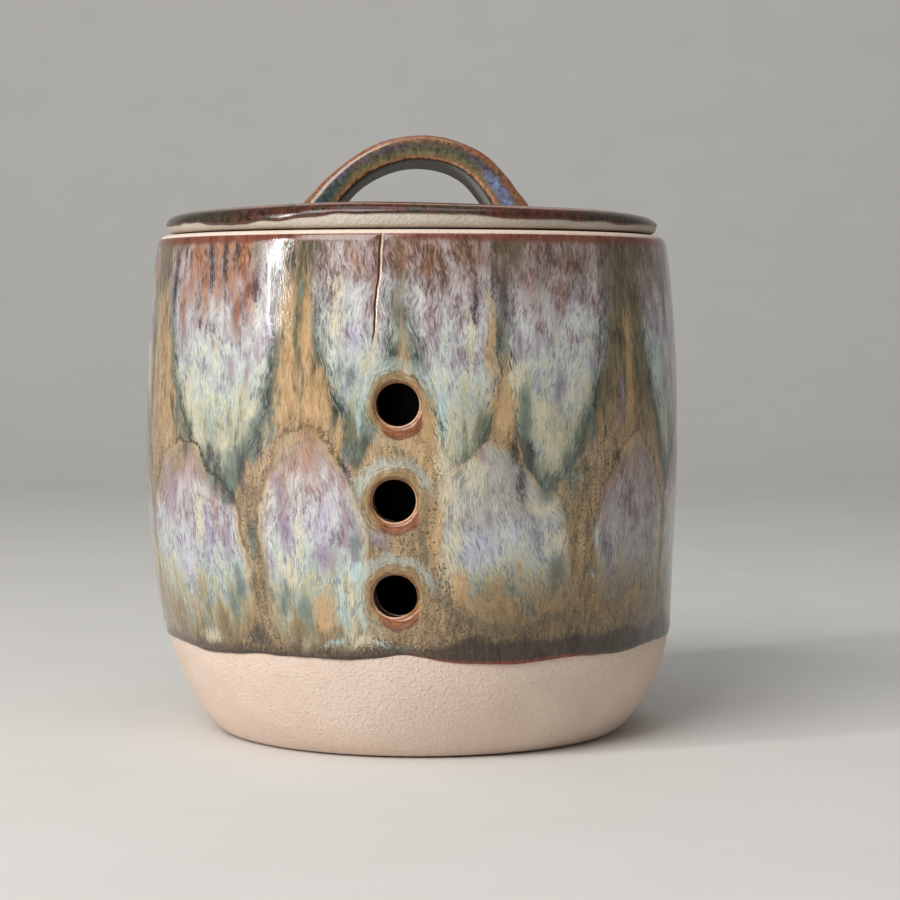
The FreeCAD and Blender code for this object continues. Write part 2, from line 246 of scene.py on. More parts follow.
def waver(place, size, reach, shift=0.0):
    """Smooth noise over the surface, in millimetres of reach."""
    return reach * np.array([noise.noise(Vector(point)) for point in place / size + (0, 0, shift)])


def wander(place, sideways, upwards, shifts):
    """Three wavers that push a place about; sideways and upwards are each a (size, reach)."""
    ways = (sideways, sideways, upwards)
    return np.stack([waver(place, *way, shift) for way, shift in zip(ways, shifts)], 1)


# %% [markdown]
# ## The air holes
#
# The three holes were pushed through the leather-hard wall with a tube cutter. In a mesh of clean
# rows, a round hole is made by taking out a square of faces and pulling the edge left behind on to
# a circle. That edge is then drawn inwards ring by ring, so the mouth is rounded like wet glaze.

# %% Where the holes are
LOW_VENT = 36.9
VENT_PITCH = 20.45
VENT_DRIFT = (-0.3, -0.3, 0.45)  # they don't quite stand in a line
VENTS = tuple((drift, LOW_VENT + VENT_PITCH * i) for i, drift in enumerate(VENT_DRIFT))


def cut_vent(piece, vent, half, lift, mouth):
    """Opens a round hole in the surface that lies lift outside the wall.

    half is half the square of faces taken out; mouth is a list of (radius, depth).
    """
    drift, height = vent
    level = wall_radius(height) + lift

    def in_square(place, half):
        on_wall = place.y < 0 and abs(from_axis(place) - level) < 1.5
        return on_wall and abs(place.x) < half and abs(place.z - height) < half

    pick(piece, lambda place, face: in_square(place, half), "faces")
    bpy.ops.mesh.delete(type="FACE")
    bpy.ops.mesh.select_mode(type="VERT")
    pick(piece, lambda place, vert: vert.is_boundary and in_square(place, half * 1.2))
    mesh = bmesh.from_edit_mesh(piece.data)
    edge = [vert for vert in mesh.verts if vert.select]
    middle = sum((vert.co for vert in edge), Vector()) / len(edge)
    bpy.ops.transform.tosphere(value=1.0)
    bpy.ops.transform.translate(value=(drift * MM, 0, height * MM - middle.z))
    middle = sum((vert.co for vert in edge), Vector()) / len(edge)
    size = sum((vert.co - middle).length for vert in edge) / len(edge) / MM
    depth = 0
    for step, (radius, next_depth) in enumerate(mouth):
        if step:
            bpy.ops.mesh.extrude_region_move(
                TRANSFORM_OT_translate={"value": (0, (next_depth - depth) * MM, 0)}
            )
        share = radius / size
        bpy.ops.transform.resize(value=(share, 1, share), center_override=tuple(middle))
        size, depth = radius, next_depth
    leave()


print("vents at:", [(drift, round(height, 2)) for drift, height in VENTS])


# %% [markdown]
# ## Bare clay: the jar
#
# The vessel is one closed skin: the foot, up the outside, over the rim, down the inside and across
# the floor. The rows are spaced so that each hole falls on a whole number of them.

# %% Throw the clay vessel
CLAY_COLUMNS = 128
CLAY_ROW = VENT_PITCH / 7
CLAY_SQUARE = 2 * CLAY_ROW + 0.3


def wall_rows(first, row, count, lift):
    """Evenly spaced rows up the wall, lift outside it."""
    return [(wall_radius(first + row * i) + lift, first + row * i) for i in range(count)]


foot_rows = [(43.0, 0.0), (45.2, 0.0), (46.9, 0.08), (48.2, 0.95)]
low_rows = [(wall_radius(h), h) for h in (3.4, 6.2, 9.4, 12.8, 16.4, 19.6)]
outer_rows = wall_rows(LOW_VENT - 5 * CLAY_ROW, CLAY_ROW, 31, 0)
rim_rows = [
    (58.85, 114.2), (58.3, 114.85), (57.3, JAR_HEIGHT), (55.2, JAR_HEIGHT), (54.2, 114.6), (53.6, 113.4),
]
inner_rows = [(radius - WALL, h) for radius, h in reversed(outer_rows) if h < 111.5]
floor_rows = [(52.6, 18.6), (50.9, 14.6), (48.4, 10.9), (45.0, 8.1), (40.0, FLOOR), (MIDDLE, FLOOR)]

jar = throw(
    "jar_clay", CLAY_COLUMNS, foot_rows + low_rows + outer_rows + rim_rows + inner_rows + floor_rows
)
close_pole(jar, foot_rows[0], CLAY_COLUMNS)
close_pole(jar, floor_rows[-1], CLAY_COLUMNS)
face_outwards(jar)

for drift, height in VENTS:
    cut_vent(jar, (drift, height), CLAY_SQUARE, 0, [(5.3, 0), (4.8, 0.5), (4.75, 2.2)])
    cut_vent(jar, (drift, height), CLAY_SQUARE, -WALL, [(5.3, 0), (4.8, -0.5), (4.75, -1.2)])
    pick(
        jar,
        lambda place, vert: vert.is_boundary
        and place.y < 0
        and math.hypot(place.x - drift, place.z - height) < 6,
    )
    bpy.ops.mesh.bridge_edge_loops()
    leave()

print("clay vessel:", len(jar.data.vertices), "vertices before smoothing")

# %% Lean the vessel and smooth it
LEAN = 1.9
DRAWN_IN = 47.0


def lean(piece):
    """The jar leans a little to its right below the middle, most at the foot."""
    push(piece, "lean", "X", LEAN, ramp(places(piece)[:, 2], DRAWN_IN, 10.0))


lean(jar)
smooth(jar)
place = places(jar)
dents = waver(place, 26, 1.0)
outside_only = np.clip((from_axis(place) - 45) / 6, 0, 1) * (place[:, 2] > 1.5)
push(jar, "dents", "NORMAL", 0.16, np.clip(dents * 1.6, -1, 1) * outside_only * (place[:, 2] < 20))
print("clay vessel:", len(jar.data.polygons), "faces")

# %% [markdown]
# ## The glaze inside
#
# The inside carries a thin dark liner, poured in and poured out again. It is modelled as the skin
# that faces the air, then given its thickness towards the clay. Where the holes go through, the
# liner follows their edge.

# %% Pour the liner
LINER = 0.33
LINER_THICK = 0.26
liner_rows = [(radius - WALL - LINER, h) for radius, h in reversed(outer_rows) if h < 110.5]
liner_floor = [(52.2, 18.7), (50.5, 14.8), (48.1, 11.2), (44.8, 8.45)]
liner_floor += [(radius, FLOOR + LINER) for radius in (40.0, MIDDLE)]
liner = throw("liner_glaze_skin", CLAY_COLUMNS, liner_rows + liner_floor)
close_pole(liner, liner_floor[-1], CLAY_COLUMNS)
face_outwards(liner)
pick(liner, lambda place, vert: True)
bpy.ops.mesh.flip_normals()
leave()
for vent in VENTS:
    cut_vent(liner, vent, CLAY_SQUARE, -WALL - LINER, [(5.7, 0), (5.3, -0.2)])
lean(liner)
apply_modifier(liner, "SOLIDIFY", thickness=LINER_THICK * MM, offset=-1)
smooth(liner)
print("liner:", len(liner.data.polygons), "faces")

# %% [markdown]
# ## The running glaze: its skin
#
# The outer glaze is a glassy coat about a third of a millimetre thick. It ends in a wavy, rolled
# edge above the bare foot, thins to nothing at the rim, and wraps into each hole. It is a surface
# of its own, because that edge and its small step are what tell the eye that glaze lies on clay.

# %% Throw the coat's outer surface
COAT_COLUMNS = 192
COAT_ROW = VENT_PITCH / 10
COAT_RISE = 0.34
COAT_THICK = 0.34
LINE = 22.9
rolled = ((-0.35, 0.2), (0.1, 0.38), (0.9, COAT_RISE))  # above the line, lift off the wall
line_rows = [(wall_radius(LINE + up) + lift, LINE + up) for up, lift in rolled]
coat_rows = wall_rows(LOW_VENT - 6 * COAT_ROW, COAT_ROW, 44, COAT_RISE)
top_rows = [(59.3, 113.5), (59.0, 114.2)]
coat = throw("running_glaze", COAT_COLUMNS, line_rows + coat_rows + top_rows)
face_outwards(coat)

MOUTH = [(6.0, 0), (5.45, 0.1), (4.95, 0.45), (4.6, 1.05), (4.5, 1.9), (4.5, 3.2)]
for vent in VENTS:
    cut_vent(coat, vent, 3 * COAT_ROW + 0.3, COAT_RISE, MOUTH)
print("coat, first rows:", len(coat.data.polygons), "faces")

# %% [markdown]
# ### The firing crack
#
# A hairline crack runs down from the rim, where the wall dried too fast. One column of edges is
# slid on to the crack's slanting line, bevelled into a narrow strip, and the strip's middle is
# pressed in, which leaves a groove with rounded glass lips.

# %% Open the crack
CRACK_TOP, CRACK_FOOT = JAR_HEIGHT, 86.5
CRACK_ANGLES = (-2.7, -4.7)  # at its top and at its foot
FRONT = -54  # what lies further forward than this is the front of the wall


def crack_x(height, radius):
    """Where the crack lies at a height, in millimetres along X, with a slight waver."""
    share = (CRACK_TOP - height) / (CRACK_TOP - CRACK_FOOT)
    angle = CRACK_ANGLES[0] + (CRACK_ANGLES[1] - CRACK_ANGLES[0]) * share
    slow, quick = 0.14 * math.sin(height * 0.55), 0.06 * math.sin(height * 1.7)
    return radius * math.sin(math.radians(angle)) + slow + quick


def open_crack(piece, column_angle, high, half_width, depth):
    """Slides a column of edges on to the crack, widens it and presses its middle in."""

    def on_column(place, vert):
        away = math.degrees(math.atan2(place.x, -place.y)) - column_angle
        return abs(away) < 0.4 and place.y < FRONT and CRACK_FOOT < place.z < high

    pick(piece, on_column)
    mesh = bmesh.from_edit_mesh(piece.data)
    column = [vert.co / MM for vert in mesh.verts if vert.select]
    leave()
    targets = [(crack_x(start.z, from_axis(start)), start.z) for start in column]
    for start, (x, z) in zip(column, targets):
        pick(piece, lambda place, vert: (place - start).length < 0.02)
        bpy.ops.transform.translate(value=((x - start.x) * MM, 0, 0))
        leave()
    pick(
        piece,
        lambda place, vert: place.y < FRONT
        and any(abs(place.z - z) < 0.02 and abs(place.x - x) < 0.02 for x, z in targets),
    )
    bpy.ops.mesh.bevel(offset=half_width * MM, segments=2, affect="EDGES", clamp_overlap=True)
    leave()
    place = places(piece)
    weight = np.zeros(len(place))
    for x, z in targets:
        above = z - CRACK_FOOT - 2
        if above > 0:
            near = (np.abs(place[:, 0] - x) < 0.06) & (np.abs(place[:, 2] - z) < 0.3)
            weight[near & (place[:, 1] < FRONT + 4)] = min(1, above / 12 + 0.35)
    push(piece, "crack", "NORMAL", -depth, weight)
    print("crack over", len(column), "rows,", int((weight > 0).sum()), "vertices pressed in")


open_crack(coat, column_angle=-3.75, high=114.0, half_width=0.3, depth=0.5)

# %% [markdown]
# ### The lobes of glaze
#
# Two glazes were brushed over each other in two rows of dabs. In the kiln each dab melted and ran
# down into a scallop: the upper ones hang from the rim and end in a point, the lower ones have a
# peaked top and run out above the foot. Each lobe is listed with the angle of its top and of its
# foot, its two heights and its half-width. The rest of the way round continues the two rows with a
# seeded chance, so the back looks brushed by the same hand.

# %% List the lobes
UPPER, LOWER = 0, 1
lobes = [
    # row, angle at top, angle at foot, top, foot, half-width in mm
    (UPPER, -78, -72, 118, 66, 8.0),
    (UPPER, -44, -38, 118, 56.5, 19.0),
    (UPPER, -8.5, -7.5, 118, 64, 9.8),
    (UPPER, 10.5, 13.5, 118, 60, 11.5),
    (UPPER, 36.5, 31, 118, 57.5, 14.5),
    (UPPER, 70, 72, 118, 57.5, 12.5),
    (LOWER, -53, -48.5, 69, 23.5, 19.5),
    (LOWER, -18.5, -16, 73.5, 22.5, 12.2),
    (LOWER, 18.5, 27, 69.5, 27.5, 14.5),
    (LOWER, 56.5, 56, 70.5, 25.5, 12.8),
]
hand = random.Random(7)
for row, first, last, count in ((UPPER, 97, 257, 7), (LOWER, 84, 276, 8)):
    for i in range(count):
        angle = first + (last - first) * i / (count - 1) + hand.uniform(-3, 3)
        foot_angle = angle + hand.uniform(-4, 4)
        if row == UPPER:
            top, foot, reach = 118, hand.uniform(56, 66), hand.uniform(10.5, 14)
        else:
            top, foot, reach = hand.uniform(67, 74), hand.uniform(22.5, 27), hand.uniform(11.5, 14.5)
        lobes.append((row, angle, foot_angle, top, foot, reach))
print(len(lobes), "lobes")

# %% Measure every vertex against the lobes
ARC_MM = math.pi * 62.2 / 180  # millimetres along the wall for one degree


def outline_of(row, share):
    """Half-width of a lobe, from 0 to 1, at a share of the way down."""
    share = np.clip(share, 0, 1)
    if row == UPPER:
        return np.clip(1 - np.clip((share - 0.35) / 0.65, 0, 1) ** 2.1, 0, 1) ** 0.8
    rise = np.clip(1 - (1 - np.clip(share / 0.5, 0, 1)) ** 2.0, 0, 1) ** 0.72
    return rise * (1 - 0.4 * np.clip((share - 0.72) / 0.28, 0, 1) ** 2)


def lobe_fields(row, angles, heights):
    """Measures each place against the nearest lobe of a row.

    Returns how deep inside it the place lies, its share of the way down, its place across and
    the lobe's number.
    """
    best = np.full(len(angles), -1e9)
    down, across, number = np.zeros((3, len(angles)))
    for index, (lobe_row, top_angle, foot_angle, top, foot, reach) in enumerate(lobes):
        if lobe_row != row:
            continue
        share = (top - heights) / (top - foot)
        centre = top_angle + (foot_angle - top_angle) * np.clip(share, 0, 1)
        side = turn_between(angles, centre) * ARC_MM
        half = reach * outline_of(row, share)
        rise = outline_of(row, share + 0.02) - outline_of(row, share - 0.02)
        slope = reach * rise / (0.04 * (top - foot))
        inside = (half - np.abs(side)) / np.sqrt(1 + np.clip(slope, -3, 3) ** 2)
        past = np.maximum(heights - top, foot - heights)
        inside = np.where(past > 0, np.minimum(inside, -np.hypot(past, side)), inside)
        closer = inside > best
        best = np.where(closer, inside, best)
        down = np.where(closer, share, down)
        across = np.where(closer, side / np.maximum(outline_of(row, share), 0.55), across)
        number = np.where(closer, index, number)
    return best, down, across, number


# %% [markdown]
# ### Wave the lower edge, give the coat its thickness
#
# The glaze stopped where the wax on the foot began, and then ran a little past it here and there.
# The lowest rows are pushed up or down by a few broad waves and a fine waver. Solidify gives the
# skin its thickness towards the clay, and one level of subdivision rolls the edges round.

# %% Finish the coat's form
WAVES = (
    # angle, millimetres up, half-width in degrees
    (-66, 0.4, 8), (-48, -0.6, 8), (-30, 0.35, 9), (-9, 0.45, 6), (0.5, 1.35, 5.5),
    (23, -0.85, 11), (50, -0.8, 9), (68, 0.2, 9), (96, -0.6, 12), (131, 0.7, 10), (160, -0.8, 8),
    (184, 0.5, 10), (213, -0.7, 9), (240, 0.6, 12), (268, -0.5, 9),
)
VENT_CLEAR = 6.2  # from this far round a hole's middle, the coat is the plain wall again
place = places(coat)
wave = wave_at(place, WAVES)
wave += waver(place * (1, 1, 0), 3.2, 0.28) + waver(place * (1, 1, 0), 9.0, 0.35, 4.0)
near_edge = np.clip((30 - place[:, 2]) / 6.5, 0, 1)
push(coat, "wave", "Z", 2.0, np.clip(wave / 2.0, -1, 1) * near_edge)
lean(coat)
apply_modifier(coat, "SOLIDIFY", thickness=COAT_THICK * MM, offset=-1)
smooth(coat)

place = places(coat)
radial = place[:, :2] / from_axis(place)[:, None]
facing = (read(coat.data.vertex_normals, "vector")[:, :2] * radial).sum(1)
from_vents = [np.hypot(place[:, 0] - drift, place[:, 2] - height) for drift, height in VENTS]
vent_away = np.where(place[:, 1] < 0, np.min(from_vents, axis=0), 60)
air_side = (facing > 0.5) & (vent_away > VENT_CLEAR)
print("coat:", len(coat.data.polygons), "faces,", int(air_side.sum()), "vertices face the air")

# %% Raise the lobes and store what the finish needs
warped = place + wander(place, (9, 1.6), (7, 2.4), (0, 31, 62))
warped += wander(place, (2.6, 0.5), (2.2, 0.9), (5, 15, 25))
fields = [lobe_fields(row, angle_of(warped), warped[:, 2]) for row in (UPPER, LOWER)]

raised = np.maximum(np.clip(fields[0][0] / 2.5, 0, 1) * 0.7, np.clip((fields[1][0] + 0.3) / 1.6, 0, 1))
raised = ramp(raised, 0, 1) + np.clip(waver(place, 5, 0.6, 9), -0.3, 0.3)
raised *= np.clip((vent_away - VENT_CLEAR) / 3, 0, 1) * np.clip((112 - place[:, 2]) / 3, 0, 1)
push(coat, "relief", "NORMAL", 0.13, np.clip(raised, -1, 1) * air_side)


def store(piece, name, *columns):
    """Keeps three numbers on each vertex, for the finish to read."""
    attribute = piece.data.attributes.new(name, "FLOAT_VECTOR", "POINT")
    attribute.data.foreach_set("vector", np.stack(columns, 1).astype(np.float32).ravel())


LOBE_STEP = 3.7  # each lobe's number is multiplied by this, so that their noises differ
for name, (inside, down, across, number) in zip(("upper", "lower"), fields):
    store(coat, name, inside, down, number * LOBE_STEP)
edge_height = place[:, 2] - LINE - wave_at(place, WAVES)
store(coat, "across", fields[0][2], fields[1][2], edge_height)
crack_away = np.where(
    (place[:, 1] < 0) & (place[:, 2] > CRACK_FOOT - 3),
    place[:, 0] - np.array([crack_x(min(z, JAR_HEIGHT), 62) for z in place[:, 2]]),
    20,
)
spot = np.stack([angle_of(place) * ARC_MM, place[:, 2]], 1)  # across and up, on the wall unrolled
store(coat, "near", vent_away, crack_away, spot[:, 0])

# The speckled seam that runs from the top hole down past the others and along under the lobes
SEAM = (
    # angle, height
    (0.5, 68), (2, 66), (5, 62), (5.5, 56), (5, 50.5), (6, 45.5), (7, 40.5), (9, 36),
    (12.5, 32.5), (16.5, 30.5), (21, 29.5), (27, 29), (33, 31.5), (39, 30.5), (48, 28.5),
)
SEAM_WIDTH = 1.3
seam_gap = np.full(len(place), 40.0)
seam = np.array(SEAM) * (ARC_MM, 1)
for start, end in zip(seam, seam[1:]):
    way = end - start
    share = np.clip((spot - start) @ way / (way @ way), 0, 1)[:, None]
    seam_gap = np.minimum(seam_gap, np.linalg.norm(spot - start - share * way, axis=1))
nearest = np.argmin([np.abs(place[:, 2] - height) for drift, height in VENTS], axis=0)
vent_side, vent_up = (place[:, (0, 2)] - np.array(VENTS)[nearest]).T
store(coat, "vent", vent_side, vent_up, np.exp(-((seam_gap / SEAM_WIDTH) ** 2)))

# %% [markdown]
# ### Brush marks inside the lobes
#
# Inside each lobe the melt sorted itself into streaks: rust where it broke thin near the rim, plum
# and lilac where titanium clouded it, cream where it pooled, teal and black at the tips. The
# streaks that the eye knows the jar by are listed by kind as (angle, height, half-width,
# half-height); the others are scattered by the same seeded hand in every lobe behind them.

# %% List the marks
MARKS = {
    "rust": [
        (-48, 109, 2.2, 4.5), (-34, 109, 2.2, 5.5), (-32, 102, 2.5, 7),
        (-53, 99, 1.4, 6), (-41, 104, 1.4, 6.5),
        (-45, 103, 1.6, 6), (-37, 106, 1.8, 6), (-50, 104, 1.6, 5), (-35, 97, 1.6, 6), (-40, 111, 5, 2.2),
        (-8, 108, 1.4, 4), (-4, 101, 0.9, 10), (1, 109, 2.6, 4), (6, 107, 1.6, 3),
        (-18, 69, 2.4, 7), (17, 109, 2, 2.8), (28, 103, 1.6, 4), (35, 102, 1.4, 5), (62, 57, 1.3, 5.5),
    ],
    "plum": [
        (-36, 85, 0.8, 4.5), (-32, 85, 0.8, 4.5), (-52, 92, 0.8, 6), (-27, 93, 0.9, 5), (-29, 89, 0.9, 3),
        (-10, 63, 1.2, 2.5), (-24, 59, 1.4, 4), (45, 88, 1.2, 3.5), (42, 86, 0.9, 3),
        (25, 90, 0.8, 4.5), (29, 90, 0.6, 5),
        (34, 82, 0.9, 4), (51, 78, 0.7, 8), (-57, 57, 2, 6),
        (-38, 48, 1.7, 4), (-23, 51, 1.2, 4.5), (-14, 45, 2.6, 3),
        (-10, 54, 0.6, 6), (-3, 49, 2.1, 2.6), (17, 67, 1, 2.2),
        (19, 54, 1, 2.6), (28, 53, 1, 1.3), (46, 56, 1.6, 4.5),
        (48, 43, 1, 3.5), (54, 42, 1, 2.5),
    ],
    "cream": [
        (-49, 80, 2.2, 4), (-40, 89, 1.1, 4), (-30, 76, 2.2, 3),
        (-46, 71, 2.2, 3.5), (-38, 69, 2.0, 3), (-12, 102, 1.5, 3.5),
        (-12, 95, 2.2, 4.5), (15, 92, 1.3, 9), (25, 83, 2.5, 4.5),
        (37, 80, 1.3, 3), (33, 68, 3.2, 5.5), (30, 76, 2.2, 4.5),
        (11, 69, 1.5, 8), (-46, 52, 2, 7), (-45, 26, 3, 2),
        (-22, 41, 2.6, 4.5), (-20, 52, 0.8, 10), (-9, 35, 0.8, 9),
        (-6, 26, 4, 1.6), (16, 63, 2.5, 4.5), (30, 56, 4, 2.6),
        (34, 48, 3, 3.2), (10, 61, 2, 8), (12, 51, 1.2, 8),
        (10, 44, 1.6, 7), (9, 66, 1.0, 9),
    ],
    "teal": [
        (-54, 75, 1.6, 6), (-26, 74, 1.6, 5), (-30, 68, 2.2, 4),
        (-44, 66, 2, 3), (-35, 65, 3, 3), (-20, 102, 0.9, 2.2),
        (-11, 86, 1.0, 3), (-9, 83, 1.0, 2.5), (37, 62, 3, 5), (26, 76, 1.4, 6), (42, 72, 1.5, 6),
        (-31, 48, 1.3, 7), (-35, 38, 1.6, 4.5), (-37, 34, 2, 4),
        (-24, 35, 1.2, 4.5), (-19, 33, 2, 4), (-8, 48, 1, 4.5),
        (-41, 62, 3.2, 4.5), (-37, 60, 2.6, 4), (-50, 69, 1.6, 5),
        (-29, 71, 1.6, 6), (-10, 67, 1.0, 3.5), (31, 60, 2.4, 4),
        (36, 55, 1, 3.5), (33, 38, 1, 3.5), (51, 36, 1, 4.5),
    ],
    "ice": [
        (-41, 76, 0.7, 4.5), (-6, 81, 0.6, 4), (-7, 76, 0.6, 5),
        (9, 79, 0.6, 6), (10, 75, 0.6, 5), (-8, 42, 2, 2.2),
        (-11, 37, 0.6, 6), (-10, 32, 0.6, 4.5), (-7, 33, 0.7, 6),
        (-13, 26, 3, 0.9), (-1, 26, 4, 0.8), (44, 49, 1, 4),
        (43, 41, 0.8, 1.6),
    ],
    "lilac": [
        (-8, 92, 1.6, 4), (-51, 42, 2.6, 7), (-43, 50, 1.2, 7),
        (-15, 53, 2.6, 8), (17, 47, 4, 4.5), (24, 50, 1.6, 3.5),
    ],
    "ochre": [
        (-22, 90, 1.5, 22), (-18, 94, 1.0, 13), (-16, 79, 3.6, 8), (19, 90, 1.6, 11),
        (22, 78, 3.0, 9), (54, 82, 1.7, 20), (6, 71, 3, 8), (-11.5, 71, 1.1, 5), (-15, 33, 3.2, 4),
        (8, 51, 2, 12), (47, 31, 3, 3), (40, 50, 1.1, 9), (20, 34, 5.5, 3.2), (33, 35, 4.5, 3.4),
        (57, 33, 5, 4), (13, 39, 2.2, 5),
    ],
    "olive": [
        (-20, 94, 1.2, 16), (-9, 71, 2, 5), (34, 40, 2.6, 5.5),
        (74, 34, 2.6, 8), (-30, 111, 2, 4.5), (-18, 110, 1.2, 5),
        (24, 110, 4, 3), (50, 108, 4, 7), (56, 106, 1.5, 8),
    ],
    "dark": [
        (-27, 106, 0.9, 5), (-53, 111, 0.8, 4), (-44, 111, 0.8, 3.5), (-39, 109, 0.8, 5),
        (20, 104, 0.6, 6), (22, 100, 0.6, 7), (16, 99, 0.5, 4.5), (21, 92, 0.5, 5), (-40, 62, 0.9, 3.4),
        (-36, 58, 1.0, 2.8), (-38, 60, 0.8, 3.2), (-43, 64, 0.7, 2.4), (25.3, 61, 1.2, 4.5),
        (23.6, 67, 1.2, 3.6), (27, 66.5, 1.2, 3.6), (-57, 104, 1.2, 7), (-30, 103, 1.2, 6),
        (-42, 67, 1.3, 3.5), (-33, 63, 1.2, 4.5), (-29, 69, 1.0, 4), (-48, 71, 0.9, 3.5),
        (-25, 108, 1.6, 4), (50, 66, 0.9, 2.4), (-22, 108, 0.8, 4), (-31, 26.5, 4.5, 2.4),
        (-43, 107, 0.9, 5), (-36, 110, 0.8, 4),
    ],
}
SCATTER = {
    # kind: in an upper lobe and then in a lower one, how many and between which shares of its length
    "rust": ((4, 0.08, 0.3), (1, 0.05, 0.25)),
    "plum": ((4, 0.35, 0.6), (4, 0.2, 0.6)),
    "cream": ((3, 0.5, 0.82), (3, 0.3, 0.95)),
    "teal": ((4, 0.75, 0.98), (3, 0.5, 0.85)),
    "ice": ((1, 0.5, 0.75), (1, 0.4, 0.9)),
    "lilac": ((1, 0.35, 0.55), (2, 0.25, 0.6)),
    "dark": ((4, 0.06, 0.3), (0, 0, 0)),
}
LISTED = (-66, 64)  # the lobes between these angles have their marks listed one by one
for row, top_angle, foot_angle, top, foot, reach in lobes:
    middle = turn_between(top_angle, 0)
    if LISTED[0] < middle < LISTED[1]:
        continue
    for kind, by_row in SCATTER.items():
        count, low, high = by_row[row]
        for _ in range(count):
            share = hand.uniform(low, high)
            side = hand.uniform(-0.7, 0.7) * reach * float(outline_of(row, share)) / ARC_MM
            angle = top_angle + (foot_angle - top_angle) * share + side
            wide = hand.uniform(0.7, 2.2)
            MARKS[kind].append((angle, top + (foot - top) * share, wide, wide * hand.uniform(1.6, 4)))
    if row == UPPER:
        gap = middle + reach / ARC_MM
        MARKS["ochre"].append((gap - 1, hand.uniform(84, 92), hand.uniform(1.2, 2), 20))
        MARKS["olive"].append((gap + 1, hand.uniform(88, 100), hand.uniform(1, 1.6), 16))
print({kind: len(rows) for kind, rows in MARKS.items()})

# %% Weigh the marks on the coat
place = places(coat)
pushed = place + wander(place, (4, 0.9), (6, 2.0), (41, 47, 53))
pushed_angles = angle_of(pushed)


def weight_of(kind):
    """How strongly each vertex lies in the marks of a kind, 0 to 1."""
    weight = np.zeros(len(place))
    for angle, height, wide, tall in MARKS[kind]:
        side = turn_between(pushed_angles, angle) * ARC_MM
        away = (side / max(wide, 0.8)) ** 2 + ((pushed[:, 2] - height) / tall) ** 2
        weight = np.maximum(weight, np.exp(-0.7 * away))
    return weight


KINDS = {
    "warm": ("rust", "ochre", "cream"), "cool": ("teal", "ice", "lilac"), "deep": ("plum", "olive", "dark"),
}
for name, kinds in KINDS.items():
    store(coat, name, *(weight_of(kind) for kind in kinds))
print("marks stored as", list(KINDS))

# %% [markdown]
# ## The lid's disc
#
# The lid is a flat disc cut from a slab, with a soft upper shoulder and a slightly domed top, and
# its lower edge is bare so that it doesn't stick to the kiln shelf. It is thrown as one closed
# skin, from the middle of its underside, round its edge and back to the middle of its top.

# %% Throw the lid
LID_BASE = JAR_HEIGHT + 0.3
LID_COLUMNS = 128
LID_OUTLINE = (
    # radius, millimetres above its underside
    (46.0, 0), (50.0, 0), (55.6, 0.02), (56.6, 0.3), (57.05, 0.9), (57.25, 1.8), (57.2, 2.6),
    (56.7, 3.35), (55.7, 3.9), (53.8, 4.2), (51.0, 4.55), (46.0, 4.85), (42.0, 4.88),
)
lid_rows = [(radius, LID_BASE + up) for radius, up in LID_OUTLINE]
lid = throw("lid_clay", LID_COLUMNS, lid_rows)
close_pole(lid, lid_rows[0], LID_COLUMNS)
close_pole(lid, lid_rows[-1], LID_COLUMNS)
face_outwards(lid)
smooth(lid)
LID_SWELLS = (
    # angle, millimetres up, half-width in degrees
    (-8, 0.85, 30), (92, -0.7, 28), (-95, -0.3, 24),
)


def swell(piece):
    """The slab is a little thicker at the front, and wore lower at its two sides."""
    place = places(piece)
    shoulder = ramp(from_axis(place), 38, 53) * ramp(place[:, 2], LID_BASE + 1.2, LID_BASE + 3.9)
    push(piece, "swell", "Z", 1.0, wave_at(place, LID_SWELLS) * shoulder)


swell(lid)
place = places(lid)
push(lid, "hand", "Z", 0.12, np.clip(waver(place, 21, 1.6) * (place[:, 2] > LID_BASE + 0.6), -1, 1))
print("lid:", len(lid.data.polygons), "faces")

# %% [markdown]
# A ring under the disc drops inside the rim and keeps the lid from sliding. It is bare clay too.

# %% Throw the locating ring
RING_OUT, RING_IN, RING_FOOT = 51.8, 47.8, LID_BASE - 8.0
ring_side = [
    # millimetres out from the ring's side, height
    (0.5, LID_BASE - 0.02), (0, LID_BASE - 0.6), (0, LID_BASE - 4), (0, RING_FOOT + 1.6),
    (-0.35, RING_FOOT + 0.5), (-1.3, RING_FOOT),
]
ring_rows = [(RING_OUT + out, height) for out, height in ring_side]
ring_rows += [(RING_IN - out, height) for out, height in reversed(ring_side)]
ring = throw("locating_ring", LID_COLUMNS, ring_rows)
pick(ring, lambda place, vert: vert.is_boundary)
bpy.ops.mesh.bridge_edge_loops()
face_outwards(ring)
smooth(ring)
print("locating ring:", len(ring.data.polygons), "faces")

# %% [markdown]
# ## The lid's glaze
#
# The lid was dipped face down, so its glaze covers the top and runs half-way down the edge to a
# ragged line. It is built like the jar's coat: an outer skin, a waved edge, then a thickness.

# %% Dip the lid
LID_COAT_THICK = 0.42
LID_COAT_COLUMNS = 160
LID_LINE = 117.15
lid_coat_rows = [
    (57.32, 117.05), (57.56, 117.4), (57.5, 118.0), (57.05, 118.85), (56.1, 119.6),
    (54.1, 120.1), (51.0, 120.42), (46.0, 120.6), (42.0, 120.6),
]
lid_coat = throw("lid_glaze_skin", LID_COAT_COLUMNS, lid_coat_rows)
close_pole(lid_coat, lid_coat_rows[-1], LID_COAT_COLUMNS)
face_outwards(lid_coat)
LID_WAVES = (
    # angle, millimetres up, half-width in degrees
    (-41, -0.75, 11), (-10, 0.75, 14), (12, 0.95, 12), (36, 0.2, 9), (62, -0.3, 10), (90, 0.4, 12),
    (125, -0.5, 12), (158, 0.5, 14), (190, -0.4, 10), (222, 0.5, 14), (256, -0.5, 12),
)
place = places(lid_coat)
rise = wave_at(place, LID_WAVES)
rise += waver(place * (1, 1, 0), 2.2, 0.4) + waver(place * (1, 1, 0), 7.0, 0.45, 8.0)
near_edge = np.clip((118.9 - place[:, 2]) / 1.8, 0, 1)
